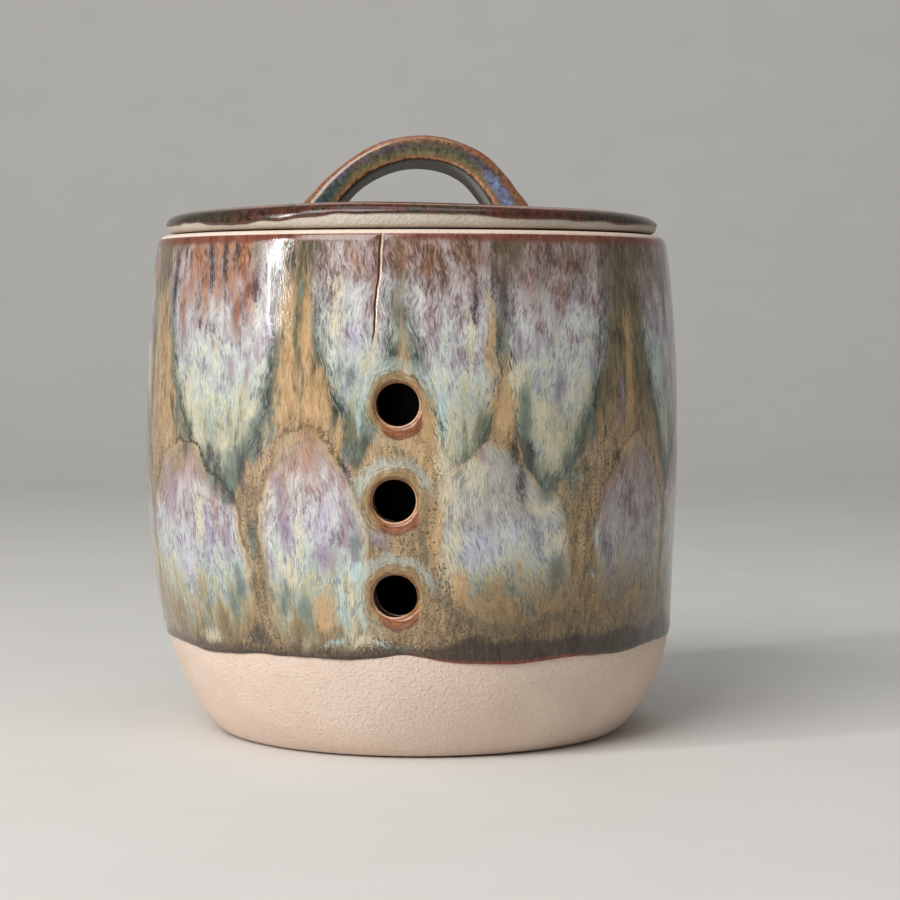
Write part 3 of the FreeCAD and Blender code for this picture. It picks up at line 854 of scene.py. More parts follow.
push(lid_coat, "edge", "Z", 1.5, np.clip(rise / 1.5, -0.6, 1) * near_edge)
apply_modifier(lid_coat, "SOLIDIFY", thickness=LID_COAT_THICK * MM, offset=-1)
smooth(lid_coat)
swell(lid_coat)
place = places(lid_coat)
push(lid_coat, "hand", "Z", 0.08, np.clip(waver(place, 21, 1.6) * (place[:, 2] > 118.5), -1, 0.4))
print("lid glaze:", len(lid_coat.data.polygons), "faces")

# %% [markdown]
# ## The strap handle
#
# A strap is pulled from a lump of wet clay, bent into an arch and pressed on to the lid. Its
# section is a flat bar with soft edges, so a small plane with its corners bevelled is that
# section. It is spun along the arch, thickened towards its roots, where the clay was worked on to
# the lid, and cut level a hair below the lid's glaze so that no gap shows.

# %% Draw the strap's section
STRAP_CENTRE = 111.1
STRAP_ARC = 23.65
STRAP_THICK, STRAP_DEPTH = 6.1, 34.6
STRAP_TURN = math.radians(4.4)  # it was pressed on a little askew
SWEEP = math.radians(150)
bpy.ops.object.select_all(action="DESELECT")
bpy.ops.mesh.primitive_plane_add(size=1, location=(0, 0, (STRAP_CENTRE + STRAP_ARC) * MM))
strap = bpy.context.object
strap.name = strap.data.name = "strap_handle"
strap.scale = (STRAP_THICK * MM, STRAP_DEPTH * MM, 1)
strap.rotation_euler = (0, math.radians(90), 0)
bpy.ops.object.transform_apply(location=True, rotation=True, scale=True)
bpy.ops.object.mode_set(mode="EDIT")
bpy.ops.mesh.select_all(action="SELECT")
bpy.ops.mesh.bevel(offset=1.7 * MM, segments=3, affect="VERTICES")
for depth in (-14, -9, -3, 3, 9, 14):
    bpy.ops.mesh.select_all(action="SELECT")
    bpy.ops.mesh.bisect(plane_co=(0, depth * MM, 0), plane_no=(0, 1, 0))
print("strap's section:", len(bmesh.from_edit_mesh(strap.data).verts), "vertices")

# %% Bend it into an arch
bpy.ops.mesh.select_all(action="SELECT")
bpy.ops.transform.rotate(value=-SWEEP / 2, orient_axis="Y", center_override=(0, 0, STRAP_CENTRE * MM))
bpy.ops.mesh.spin(steps=36, angle=SWEEP, center=(0, 0, STRAP_CENTRE * MM), axis=(0, 1, 0))
leave()
face_outwards(strap)
smooth(strap, 2)

place = places(strap)
arch = np.hypot(place[:, 0], place[:, 2] - STRAP_CENTRE)  # millimetres from the arch's middle
through = (arch - STRAP_ARC) / STRAP_THICK + 0.5  # 0 on the underside, 1 on top
around = np.degrees(np.arctan2(place[:, 0], place[:, 2] - STRAP_CENTRE))
depthwise = place[:, 1] / (STRAP_DEPTH / 2)  # -1 at the front edge, 1 at the back
push(strap, "root", "NORMAL", 0.55, ramp(place[:, 2], 131, 123.5))
push(strap, "flare", "NORMAL", 0.9, ramp(place[:, 2], 125.5, 120.5) * ramp(through, 0.3, 0.9))
push(strap, "lean", "X", 1.7, 0.25 + 0.75 * ramp(place[:, 2], 122, 135))
push(strap, "hand", "NORMAL", 0.2, np.clip(waver(place, 9, 1.5, 3.0), -1, 0.25))
store(strap, "band", through, around, depthwise)
pick(strap, lambda place, vert: True)
bpy.ops.transform.rotate(value=-STRAP_TURN, orient_axis="Z", center_override=(0, 0, 0))
leave()
print("strap turned by", round(math.degrees(STRAP_TURN), 1), "degrees")

# %% Cut the roots level
STRAP_FOOT = 120.35
pick(strap, lambda place, vert: True)
bpy.ops.mesh.bisect(plane_co=(0, 0, STRAP_FOOT * MM), plane_no=(0, 0, 1), clear_inner=True, use_fill=True)
leave()
place = places(strap)
print("strap spans", np.round(place.min(0), 1), "to", np.round(place.max(0), 1))

# %% [markdown]
# ## Writing finishes as sums
#
# Every finish here is built from nodes, and most nodes do plain sums. A small class wraps a
# socket, so that a sum written with it adds the Math nodes by itself. Any other node comes from
# its one method, which takes the node's type, its settings and what feeds its sockets.


# %% A socket that can be used in sums
class Wire:
    """One output of a node in a finish."""

    def __init__(self, tree, socket):
        self.tree, self.socket = tree, socket

    def node(self, kind, settings=(), sockets=(), output=0):
        """Adds a node: its type, its settings, then the values or wires of its sockets."""
        made = self.tree.nodes.new("ShaderNode" + kind)
        for name, value in dict(settings).items():
            if name == "stops":
                while len(made.color_ramp.elements) < len(value):
                    made.color_ramp.elements.new(0.5)
                for element, (where, colour) in zip(made.color_ramp.elements, value):
                    element.position, element.color = where, colour
            else:
                setattr(made, name, value)
        for name, value in dict(sockets).items():
            if isinstance(value, Wire):
                self.tree.links.new(value.socket, made.inputs[name])
            else:
                made.inputs[name].default_value = value
        return Wire(self.tree, made.outputs[output])

    def maths(self, operation, *values):
        """A Math node on these values."""
        return self.node("Math", {"operation": operation}, dict(enumerate(values)))

    def __add__(self, other):
        return self.maths("ADD", self, other)

    def __sub__(self, other):
        return self.maths("SUBTRACT", self, other)

    def __rsub__(self, other):
        return self.maths("SUBTRACT", other, self)

    def __mul__(self, other):
        return self.maths("MULTIPLY", self, other)

    def __truediv__(self, other):
        return self.maths("DIVIDE", self, other)

    def __neg__(self):
        return self.maths("MULTIPLY", self, -1.0)

    __radd__, __rmul__ = __add__, __mul__

    def step(self, low, high):
        """A soft step from 0 at low to 1 at high; low may be the larger."""
        sockets = {"Value": self, "From Min": low, "From Max": high}
        return self.node("MapRange", {"interpolation_type": "SMOOTHSTEP"}, sockets)

    def size(self):
        """The number without its sign."""
        return self.maths("ABSOLUTE", self)

    def ridge(self, centre, half):
        """1 at the centre, down to 0 at half to either side of it, and less beyond."""
        return 1 - ((self - centre) / half).size()

    def held(self):
        """Kept between 0 and 1."""
        return self.node("Clamp", {}, {"Value": self})

    def ramp(self, *stops):
        """A colour ramp through stops of (place, colour)."""
        stops = [(where, paint(colour)) for where, colour in stops]
        return self.node("ValToRGB", {"stops": stops}, {"Fac": self})

    def parts(self):
        """The three numbers of a vector, as three wires."""
        split = self.node("SeparateXYZ", {}, {"Vector": self})
        return tuple(Wire(self.tree, output) for output in split.socket.node.outputs)


def paint(colour):
    """A given colour, three numbers of 0 to 255, as the linear light that a shader adds up."""
    if isinstance(colour, Wire):
        return colour
    shares = [value / 255 for value in colour]
    return tuple(s / 12.92 if s <= 0.04045 else ((s + 0.055) / 1.055) ** 2.4 for s in shares) + (1.0,)


def over(under, top, share):
    """Lays one colour over another by a share; a colour is a wire or three given numbers."""
    wire = next(w for w in (share, under, top) if isinstance(w, Wire))
    colours = {6: paint(under), 7: paint(top)}
    return wire.node("Mix", {"data_type": "RGBA"}, {0: share} | colours, output=2)


def two_ramps(wire, *stops):
    """Two colour ramps along one wire, through stops of (place, first colour, second colour)."""
    return tuple(wire.ramp(*((stop[0], stop[side]) for stop in stops)) for side in (1, 2))


# %% [markdown]
# A finish starts with the place on the piece. Streaks are noise that is stretched upwards: its
# place is scaled finely across and coarsely along the fall of the glaze.


# %% Start a finish
def start_finish(name):
    """A new material; returns it with its place wire and its shader node."""
    finish = bpy.data.materials.new(name)
    finish.use_nodes = True
    shader = finish.node_tree.nodes["Principled BSDF"]
    place = Wire(finish.node_tree, None).node("TexCoord", output="Object")
    return finish, place, shader


def scaled(place, scale, shift=(0, 0, 0)):
    """A place times a scale, moved by a shift."""
    return place.node("VectorMath", {"operation": "MULTIPLY_ADD"}, {0: place, 1: scale, 2: shift})


def speckle(place, detail=3.0, rough=0.6, output=0):
    """Noise about 0.5 whose marks are about 1 across in the place that it reads."""
    sockets = {"Vector": place, "Scale": 1.0, "Detail": detail, "Roughness": rough}
    return place.node("TexNoise", {}, sockets, output)


def streaks(place, wide, tall, detail=2.0, seed=0.0, rough=0.55, output=0):
    """Noise about 0.5 whose marks are wide by tall, in millimetres."""
    across, along = 1 / (wide * MM), 1 / (tall * MM)
    stretched = scaled(place, (across, across, along), (seed, seed * 1.7, seed * 2.3))
    return speckle(stretched, detail, rough, output)


def bent(place, size, reach, seed=0.0):
    """The place pushed about by a soft noise, so that what reads it flows and curls."""
    drift = streaks(place, size, size * 2.0, 2.0, seed, output="Color")
    centred = place.node("VectorMath", {"operation": "SUBTRACT"}, {0: drift, 1: (0.5, 0.5, 0.5)})
    return scaled(centred, (reach * MM, reach * MM, reach * 2 * MM), place)


def relief(height, strength, reach):
    """A Bump node whose relief reaches so many millimetres."""
    return height.node("Bump", {}, {"Height": height, "Strength": strength, "Distance": reach * MM})


def stored(place, name):
    """Three numbers kept on the vertices of the piece."""
    return place.node("Attribute", {"attribute_name": name}, output="Vector")


def finish_with(shader, sockets):
    """Sets or links the shader's sockets."""
    tree = shader.id_data
    for name, value in sockets.items():
        if isinstance(value, Wire):
            tree.links.new(value.socket, shader.inputs[name])
        else:
            shader.inputs[name].default_value = value


def wear(piece, finish):
    """Gives the piece this finish and no other."""
    piece.data.materials.clear()
    piece.data.materials.append(finish)


# %% [markdown]
# ## Bare clay
#
# Unglazed stoneware is a warm buff body full of grog, which is ground fired clay. Its grains show
# as a fine sandy relief, a few dark specks and a slow change of tone from the flame. The relief is
# two sizes of noise in a Bump node; the colour stays nearly even, as it is on the real foot.


# %% Mix the clay
def bare_clay(name, light, shade):
    """Sandy clay between two tones, with dark and pale grains."""
    finish, place, shader = start_finish(name)
    tone = streaks(place, 14, 9, 3, 2.0)
    grain = streaks(place, 0.45, 0.45, 3, 5.0, 0.65)
    grog = streaks(place, 0.7, 0.65, 1, 9.0)
    colour = over(shade, light, (tone * 0.9 + grain * 1.4 - 0.65).held())
    speck = streaks(place, 0.6, 0.55, 0, 17.0).step(0.77, 0.83)
    colour = over(colour, (150, 116, 92), speck * 0.35)
    pale = streaks(place, 0.6, 0.6, 0, 23.0).step(0.73, 0.8)
    colour = over(colour, (238, 224, 210), pale * 0.3)
    bump = relief(grain * 0.6 + grog.step(0.45, 0.75) * 0.8, 1.0, 0.12)
    finish_with(
        shader, {"Base Color": colour, "Roughness": 0.86, "Normal": bump, "Specular IOR Level": 0.35}
    )
    return finish


jar_clay = bare_clay("bare_clay", (237, 216, 200), (214, 190, 172))
lid_clay = bare_clay("bare_clay_lid", (210, 199, 184), (176, 163, 148))
for piece, finish in ((jar, jar_clay), (lid, lid_clay), (ring, lid_clay)):
    wear(piece, finish)
print("clay finishes:", jar_clay.name, lid_clay.name)

# %% [markdown]
# ## The running glaze
#
# Its colour is worked out twice: once for the thin pale fibres that the titanium makes, and once
# for the clear, darker glass between them. Each layer (ground, upper lobes, lower lobes, marks,
# halos, the dark band above the foot, the red break at the rim) is laid over both. A fine stretched
# noise then chooses between the two, and this is what gives the silky, combed look.

# %% Fields of the running glaze
coat_finish, place, shader = start_finish("running_glaze")
upper_in, upper_down, upper_number = stored(place, "upper").parts()
lower_in, lower_down, lower_number = stored(place, "lower").parts()
upper_side, lower_side, above_edge = stored(place, "across").parts()
vent_gap, crack_side, arc = stored(place, "near").parts()
crack_gap = crack_side.size()
vent_side, vent_up, freckled = stored(place, "vent").parts()
height = place.parts()[2] / MM

drift = bent(place, 6.0, 2.4, 1.0)
flow = bent(drift, 2.3, 1.5, 7.0)
# Inside a lobe the fibres lean towards its tip, so their place across is measured in shares of its width
on_lower = lower_in.step(-0.3, 0.1)
fall_side = upper_side + (lower_side - upper_side) * on_lower
fall_number = upper_number + (lower_number - upper_number) * on_lower
fall = place.node("CombineXYZ", {}, {"X": fall_side * MM, "Y": fall_number * 0.01, "Z": height * MM})
feather = bent(bent(fall, 6.0, 1.7, 1.0), 2.3, 0.7, 7.0)
threads = streaks(feather, 0.25, 1.5, 2, 3.0, 0.6)
strands = streaks(feather, 0.6, 2.8, 3, 11.0, 0.62)
ground_strands = streaks(flow, 0.8, 4.2, 3, 61.0, 0.62)
runs = streaks(drift, 2.0, 12.0, 3, 19.0)
clouds = streaks(flow, 4.5, 6.5, 3, 27.0)
grit = streaks(place, 0.5, 0.55, 2, 35.0)
# The same fields about 0, which break up the edges of every layer
fine, coarse, ground_coarse, tall, broad, grain = (
    field - 0.5 for field in (threads, strands, ground_strands, runs, clouds, grit)
)
hair = (fine * 2.2 + coarse * 2.2 + broad * 1.9 + 0.5).held()
calm = streaks(flow, 3.0, 5.0, 2, 51.0).step(0.5, 0.66)
hair = hair + (0.62 - hair) * calm * 0.6
print("noise fields:", sum(made.type == "TEX_NOISE" for made in coat_finish.node_tree.nodes))

# %% Lay the ground and the two rows of lobes


def lay(pair, light, dark, share):
    """Lays a light and a dark colour over the pair of light and dark."""
    return over(pair[0], light, share), over(pair[1], dark, share)


ground = two_ramps(
    (runs * 1.2 + ground_strands * 0.5 - 0.35).held(),
    (0.25, (128, 122, 94), (88, 84, 64)), (0.45, (190, 162, 124), (146, 122, 90)),
    (0.7, (204, 172, 134), (174, 140, 104)),
)
turn = arc / ARC_MM
low_ground = height.step(68, 56)
ground = lay(ground, (168, 140, 102), (106, 90, 64), low_ground * 0.8)
high_ground = (height + tall * 34 + ground_coarse * 12).step(95, 108)
ground = lay(ground, (112, 106, 80), (58, 54, 42), high_ground * 0.85)
right_ground = turn.step(30, 46) * turn.step(140, 110) * (height + tall * 30).step(62, 84)
ground = lay(ground, (116, 106, 80), (66, 60, 46), right_ground * 0.8)

mixed = tall * 0.6 + coarse * 0.6 + broad * 0.7 + fine * 0.2
upper = two_ramps(
    (upper_down + mixed).held(),
    (0.0, (160, 122, 96), (96, 72, 60)), (0.1, (172, 148, 136), (112, 92, 90)),
    (0.24, (192, 178, 172), (132, 114, 120)), (0.42, (206, 204, 202), (142, 138, 144)),
    (0.6, (214, 218, 206), (146, 156, 154)), (0.75, (212, 204, 174), (140, 144, 124)),
    (0.88, (142, 146, 120), (68, 82, 76)), (1.0, (92, 98, 82), (42, 46, 44)),
)
frayed = coarse * 5.5 + fine * 2.4 + broad * 3.0
upper_edge = (upper_in + frayed).step(5.2, 0.6) * (upper_down.step(0.15, 0.55) * 0.68 + 0.3)
upper = lay(upper, (108, 116, 96), (46, 60, 58), upper_edge)
fringe = (upper_in + frayed * 0.5).ridge(0.6, 1.3).held() * upper_down.step(0.45, 0.75)
upper = lay(upper, (70, 74, 60), (38, 42, 40), fringe * 0.8)
upper_share = (upper_in + coarse * 5.0 + fine * 3.2).step(-1.0, 1.2)
layers = lay(ground, *upper, upper_share)

lower = two_ramps(
    (lower_down + mixed).held(),
    (0.0, (200, 178, 144), (118, 100, 84)), (0.1, (190, 162, 144), (130, 102, 98)),
    (0.26, (192, 176, 168), (124, 106, 116)), (0.42, (206, 200, 200), (128, 124, 140)),
    (0.58, (206, 212, 204), (122, 136, 138)), (0.74, (206, 198, 168), (108, 116, 100)),
    (0.88, (178, 152, 112), (86, 84, 64)), (1.0, (138, 116, 84), (70, 62, 48)),
)
# The wide lobe right of the holes is the palest; the one next to it stayed dusky
PALE_LOBE, DUSKY_LOBE = 8, 9  # their places in the list of lobes
palest = lower_number.ridge(PALE_LOBE * LOBE_STEP, 1.0).held()
lower = lay(lower, (196, 198, 184), (142, 148, 144), palest * lower_down.step(0.72, 0.3) * 0.7)
duskiest = lower_number.ridge(DUSKY_LOBE * LOBE_STEP, 1.0).held()
lower = lay(lower, (160, 148, 142), (94, 84, 92), duskiest * 0.5)
run_out = lower_down.step(0.5, 0.85)
lower_edge = (lower_in + coarse * 3.0).step(2.4, 0.3) * (0.75 - run_out * 0.6)
lower = lay(lower, (204, 178, 134), (140, 122, 90), lower_edge)
lower_share = (lower_in + coarse * 1.2 + grain * 1.1).step(-0.25, 0.4)
melted_share = (lower_in + coarse * 6.0 + broad * 5.0).step(-1.2, 3.2)
lower_share = lower_share + (melted_share - lower_share) * run_out
layers = lay(layers, *lower, lower_share)

# Between the lobes the fibres fall straight
ground_hair = (ground_coarse * 3.0 + broad * 1.8 + 0.5).held()
in_lobe = (upper_share + lower_share).held()
hair = ground_hair + (hair - ground_hair) * in_lobe

# Round each hole the melt turned, so its fibres run in rings there
ring_place = (vent_gap + broad * 3.0) * 2.6
whirl = place.node("CombineXYZ", {}, {"X": ring_place, "Y": vent_side * 0.4, "Z": vent_up * 0.4})
rings = speckle(whirl) - 0.5
ring_hair = (rings * 3.0 + fine * 1.6 + 0.5).held()
near_vent = (vent_gap + broad * 6.0).step(10.5, 7.0)
hair = hair + (ring_hair - hair) * near_vent * 0.7
print("ground and lobes laid")

# %% Lay the marks
warm, cool, deep = (stored(place, name).parts() for name in ("warm", "cool", "deep"))


def streaky(weight, reach=1.0):
    """Breaks the soft edge of a mark into strands."""
    broken = coarse * 3.0 + fine * 2.2 + tall * 1.0
    return (weight * 1.7 + broken * reach - 0.7).step(-0.15, 0.9)


MARK_PAINT = (
    (deep[1], (124, 118, 90), (82, 78, 58), 0.8, 0.7),
    (warm[1], (208, 172, 126), (174, 140, 98), 0.85, 0.7),
    (warm[2], (222, 212, 184), (186, 180, 154), 0.8, 0.9),
    (cool[2], (208, 204, 216), (150, 144, 168), 0.75, 1.0),
    (cool[0], (126, 138, 124), (62, 84, 86), 0.85, 1.0),
    (cool[1], (206, 222, 218), (136, 170, 178), 0.8, 0.8),
    (deep[0], (164, 142, 160), (112, 86, 110), 0.75, 1.0),
    # Rust is strongest in the wide lobe on the left, and only a breath of it shows in the others
    (warm[0], (188, 132, 96), (116, 64, 44), 0.42 + turn.step(-22, -30) * 0.42, 1.25),
    (deep[2], (92, 82, 78), (50, 46, 50), 0.4, 1.2),
)
for weight, light, dark, strength, reach in MARK_PAINT:
    layers = lay(layers, light, dark, streaky(weight, reach) * strength)
# Where iron gathered most, it drew out in thin black strokes
strokes = (deep[2] * 2.4 + fine * 6.0 - 1.35).step(0.0, 0.45)
layers = lay(layers, (66, 60, 62), (34, 30, 34), strokes * 0.85)
# Painted shade: the top and the foot of the jar's right side are darkened, on the side away from the lamps
painted_shade_top_right = turn.step(6, 16) * turn.step(130, 90) * (height + tall * 20 + coarse * 10).step(98, 110)
layers = lay(layers, (132, 108, 90), (74, 58, 50), painted_shade_top_right * 0.45)
painted_shade_low_right = turn.step(8, 22) * turn.step(150, 110) * (height + tall * 16 + coarse * 8).step(47, 32)
layers = lay(layers, (138, 112, 74), (66, 54, 36), painted_shade_low_right * 0.72)
print(len(MARK_PAINT), "kinds of mark laid")

# %% [markdown]
# The dark dashes where a lower lobe overlaps an upper one are iron that was pushed to the front of
# the melt. They follow the lobe's own edge, so they read its depth, and a fine noise breaks them.

# %% Outlines, specks and halos
outline = ((lower_in + grain * 2.2).ridge(-0.45, 0.85) * 2.0).held()
dashes = streaks(place, 0.9, 0.9, 2, 44.0).step(0.38, 0.52)
outline = outline * dashes * lower_down.step(0.62, 0.3) * (upper_in.step(-5.0, 0.5) * 0.6 + 0.4)
# The palest lobe melted into what lies above it, so its outline is nearly lost
outline = outline * (1 - palest * (0.5 + strands * 0.5).held())
layers = lay(layers, (70, 58, 52), (48, 40, 40), outline * 0.9)

specks = grit.step(0.54, 0.62)
off_lobes = lower_in.step(0.3, -0.8) * upper_in.step(0.5, -1.5) * height.step(84, 58)
layers = lay(layers, (92, 76, 60), (62, 54, 48), specks * (off_lobes * 0.8 + freckled * 1.2).held())
shade = (freckled + coarse * 1.2).step(0.35, 0.9)
layers = lay(layers, (118, 106, 82), (78, 70, 56), shade * 0.5)

ragged = vent_gap + coarse * 4.0 + broad * 3.0
halo = ragged.step(7.6, 5.8)
layers = lay(layers, (184, 150, 100), (118, 94, 60), halo * 0.85)
over_vent = vent_up.step(-1.0, 4.0) * 0.75 + vent_side.step(0.5, -4.5) * 0.35
combed = vent_gap + broad * 5.0 + rings * 5.0 + coarse * 2.0
arcs = combed.step(6.4, 7.6) * combed.step(10.4, 8.4) * over_vent
layers = lay(layers, (212, 216, 202), (134, 152, 150), arcs.held() * 0.65)
# Rust broke out round the mouth and ran down below it in a short drip; the edge is pale, with a painted
# highlight lower right
downhill = ((-vent_up + vent_side * 0.25) / vent_gap).step(0.5, 1.0)
drip_gap = vent_gap + grain * 1.3 + broad * 1.6 - downhill * 2.0
mouth = drip_gap.step(5.7, 5.0)
layers = lay(layers, (160, 112, 72), (84, 54, 36), mouth * 0.95)
low_lip = mouth * (downhill + grain * 0.8).step(-0.1, 0.5)
layers = lay(layers, (174, 114, 76), (100, 56, 38), low_lip * 0.9)
drip_end = drip_gap.step(4.7, 5.3) * mouth * downhill.step(0.6, 1.0)
layers = lay(layers, (104, 70, 66), (66, 44, 46), drip_end * 0.8)
# Painted highlight: the pale lip is brightest on its lower right, where the lamps catch it
highlight_lower_right = (vent_side * 0.6 - vent_up).step(-3.5, 4.5) * 0.8 + 0.2
pale_lip_and_highlight = (vent_gap + grain * 0.25).step(5.0, 4.8) * highlight_lower_right
layers = lay(layers, (244, 206, 174), (214, 156, 118), pale_lip_and_highlight)
inside_mouth = (vent_gap + grain * 0.15).step(4.66, 4.56)
layers = lay(layers, (52, 34, 30), (40, 28, 26), inside_mouth)

# %% The dark band above the foot, the rim and the crack
right_half = turn.step(3, 14)
edge = above_edge + grain * 1.6 + (broad * 2.4 + coarse * 1.5) * (right_half * 0.6 + 0.4)
edge = edge - right_half * (2.9 + (streaks(place, 8.0, 8.0, 1, 71.0) - 0.5) * 7.0)
band = (edge + grain * 3.0).step(2.4, 0.4)
layers = lay(layers, (104, 86, 66), (62, 51, 40), band * 0.9)
brown = over((90, 68, 46), (50, 36, 26), grit.step(0.4, 0.6))
layers = lay(layers, brown, (38, 27, 19), band * right_half * 0.88)
clumps = (grit * 0.7 + clouds * 0.6).step(0.62, 0.71) * edge.step(4.4, 1.4)
layers = lay(layers, (70, 56, 46), (46, 37, 33), clumps * 0.85)
lip = (above_edge + grain * 0.35).step(0.55, 0.2)
red_side = (turn + broad * 14).step(0, 6) * turn.step(50, 38)
lip_light = over((84, 66, 52), (142, 66, 46), red_side)
lip_dark = over((52, 42, 36), (98, 40, 30), red_side)
layers = lay(layers, lip_light, lip_dark, lip)

rim_height = height + coarse * 3.0 + fine * 1.4 - turn.size().step(26, 4) * 0.5
rim = rim_height.step(111.9, 113.0)
layers = lay(layers, (136, 78, 58), (90, 46, 36), rim * 0.95)
layers = lay(layers, (206, 158, 138), (164, 110, 90), (height + grain * 0.5).step(113.95, 114.25))

lit_side = crack_side.step(-0.1, 0.25) * 0.75 + 0.25
lips = (crack_gap + grain * 0.3).step(0.56, 0.32) * height.step(CRACK_FOOT, CRACK_FOOT + 2) * lit_side
layers = lay(layers, (226, 204, 174), (190, 156, 122), lips * 0.9)
core = (crack_side + 0.14).size().step(0.3, 0.16) * height.step(CRACK_FOOT + 3, CRACK_FOOT + 6.5)
layers = lay(layers, (60, 38, 28), (50, 31, 24), core)

# %% Join them and give the glaze its gloss
colour = over(layers[1], layers[0], hair)
bump = relief(hair * 0.25 + grit * 0.3 + clouds * 0.9, 0.35, 0.16)
roughness = (0.13 + fine * 0.12 + band * 0.1 + core * 0.3).held()
finish_with(
    shader,
    {
        "Base Color": colour, "Roughness": roughness, "Normal": bump,
        "Coat Weight": 0.25, "Coat Roughness": 0.05, "IOR": 1.5,
    },
)
wear(coat, coat_finish)
print("running glaze:", len(coat_finish.node_tree.nodes), "nodes")

# %% [markdown]
# ## The dark glaze of the lid and its handle
#
# The lid carries the same iron glaze without the dabs of rutile, so it stays olive-black and breaks
# to rust wherever it ran thin: on the shoulder of the disc, at its ragged lower edge and on both
# edges of the strap. Clouds of blue and violet float in it where the two glazes met.

# %% Glaze the lid
place = places(lid_coat)
edge_height = place[:, 2] - LID_LINE - wave_at(place, LID_WAVES)
store(lid_coat, "edge", edge_height, from_axis(place), turn_between(angle_of(place), 5))

lid_finish, place, shader = start_finish("dark_glaze_lid")
above_line, from_middle, front_turn = stored(place, "edge").parts()
flow = bent(place, 6.0, 2.0, 3.0)
grain = streaks(place, 0.55, 0.55, 2, 4.0) - 0.5
fleck = streaks(flow, 1.1, 1.4, 3, 9.0) - 0.5
blotch = streaks(flow, 4.5, 6.0, 2, 15.0)
fog = streaks(flow, 10, 10, 2, 33.0) - 0.5
mottle = (fleck * 2.4 + grain * 1.2 + 0.5).held()
body = over((26, 21, 17), (72, 64, 48), mottle)
ruddy = ((blotch - 0.32) * 5).held() * front_turn.size().step(64, 18)
body = over(body, over((42, 15, 9), (104, 46, 26), mottle), ruddy * 0.92)
top_share = from_middle.step(55.2, 52.8)
top_colour = over(
    *two_ramps(
        (fog * 2.6 + (blotch - 0.5) * 1.4 + 0.36).held(),
        (0.0, (36, 31, 25), (66, 56, 42)), (0.35, (54, 49, 36), (94, 84, 62)),
        (0.62, (54, 52, 58), (96, 91, 94)), (1.0, (70, 80, 86), (128, 132, 132)),
    ),
    mottle,
)
body = over(body, top_colour, top_share)
thin = (above_line + grain * 0.5).step(0.6, 0.15)
body = over(body, over((62, 38, 26), (112, 68, 44), mottle), thin)
break_line = ((from_middle + fleck * 0.9).ridge(55.2, 0.7) * 1.4).held() * above_line.step(0.8, 1.6)
body = over(body, over((120, 64, 42), (210, 150, 118), mottle), break_line * blotch.step(0.26, 0.44))
finish_with(
    shader,
    {
        "Base Color": body, "Roughness": 0.17 + mottle * 0.08,
        "Normal": relief(mottle * 0.3 + blotch * 0.6, 0.3, 0.15),
        "Coat Weight": 0.15, "Coat Roughness": 0.06,
    },
)
wear(lid_coat, lid_finish)
print("lid glaze:", len(lid_finish.node_tree.nodes), "nodes")

# %% Glaze the handle
strap_finish, place, shader = start_finish("dark_glaze_handle")
strap_band = stored(place, "band")
through, around, sideways = strap_band.parts()
flow = bent(place, 5.0, 1.6, 6.0)
grain = streaks(place, 0.5, 0.5, 2, 4.0) - 0.5
fleck = streaks(flow, 0.9, 1.1, 3, 9.0) - 0.5
blotch = streaks(flow, 3.2, 3.2, 2, 21.0)
mottle = (fleck * 2.2 + grain * 1.2 + 0.5).held()
trail = speckle(scaled(strap_band, (5.0, 0.14, 2.0)))
level = (through + (trail - 0.5) * 0.34 + fleck * 0.12).held()
face = over(
    *two_ramps(
        level,
        (0.08, (86, 54, 34), (150, 98, 66)), (0.24, (104, 84, 50), (150, 126, 82)),
        (0.45, (64, 62, 46), (116, 112, 86)), (0.7, (72, 62, 50), (112, 98, 78)),
        (0.88, (112, 66, 42), (172, 112, 74)),
    ),
    mottle,
)
# An irregular navy and plum streak lies under the outer edge, and is lost at the crown
off_crown = (around - 6.0).size().step(6, 22)
streak = (level.ridge(0.64, 0.13) * 1.6).held() * off_crown * (trail + blotch).step(0.86, 1.06)
face = over(face, over((38, 35, 54), (118, 98, 118), mottle), streak * 0.9)
left_leg = (-around).step(38, 58) * level.ridge(0.5, 0.36).held()
face = over(face, over((34, 48, 52), (78, 98, 94), mottle), left_leg * 1.3)
right_leg = around.step(34, 52) * level.ridge(0.48, 0.26).held()
face = over(face, over((74, 84, 122), (150, 158, 186), mottle), (right_leg * 1.5).held())
outer_band = (level + grain * 0.16 + (blotch - 0.5) * 0.7 + fleck * 0.3).step(0.8, 0.93)
face = over(face, over((96, 56, 35), (164, 110, 74), mottle), outer_band)
sooty = ((blotch - 0.56) * 6.0).held() * (1 - outer_band)
face = over(face, over((40, 34, 28), (88, 80, 62), mottle), sooty * 0.7)
inner_rim = ((through + grain * 0.1 + fleck * 0.06).ridge(0.17, 0.06) * 1.6).held()
inner_rim = inner_rim * (trail + blotch).step(0.8, 1.0)
face = over(face, over((150, 92, 62), (216, 160, 122), mottle), inner_rim)
face = over(face, (20, 15, 13), (through + grain * 0.03).step(0.11, 0.06))
top = over(
    *two_ramps(
        ((blotch - 0.5) * 3.0 + 0.5).held(),
        (0.0, (52, 46, 36), (96, 88, 66)), (0.5, (62, 58, 66), (110, 104, 118)),
        (1.0, (92, 58, 40), (146, 100, 68)),
    ),
    mottle,
)
edge_glow = sideways.size().step(0.86, 0.97)
top = over(top, over((120, 72, 46), (176, 118, 80), mottle), edge_glow)
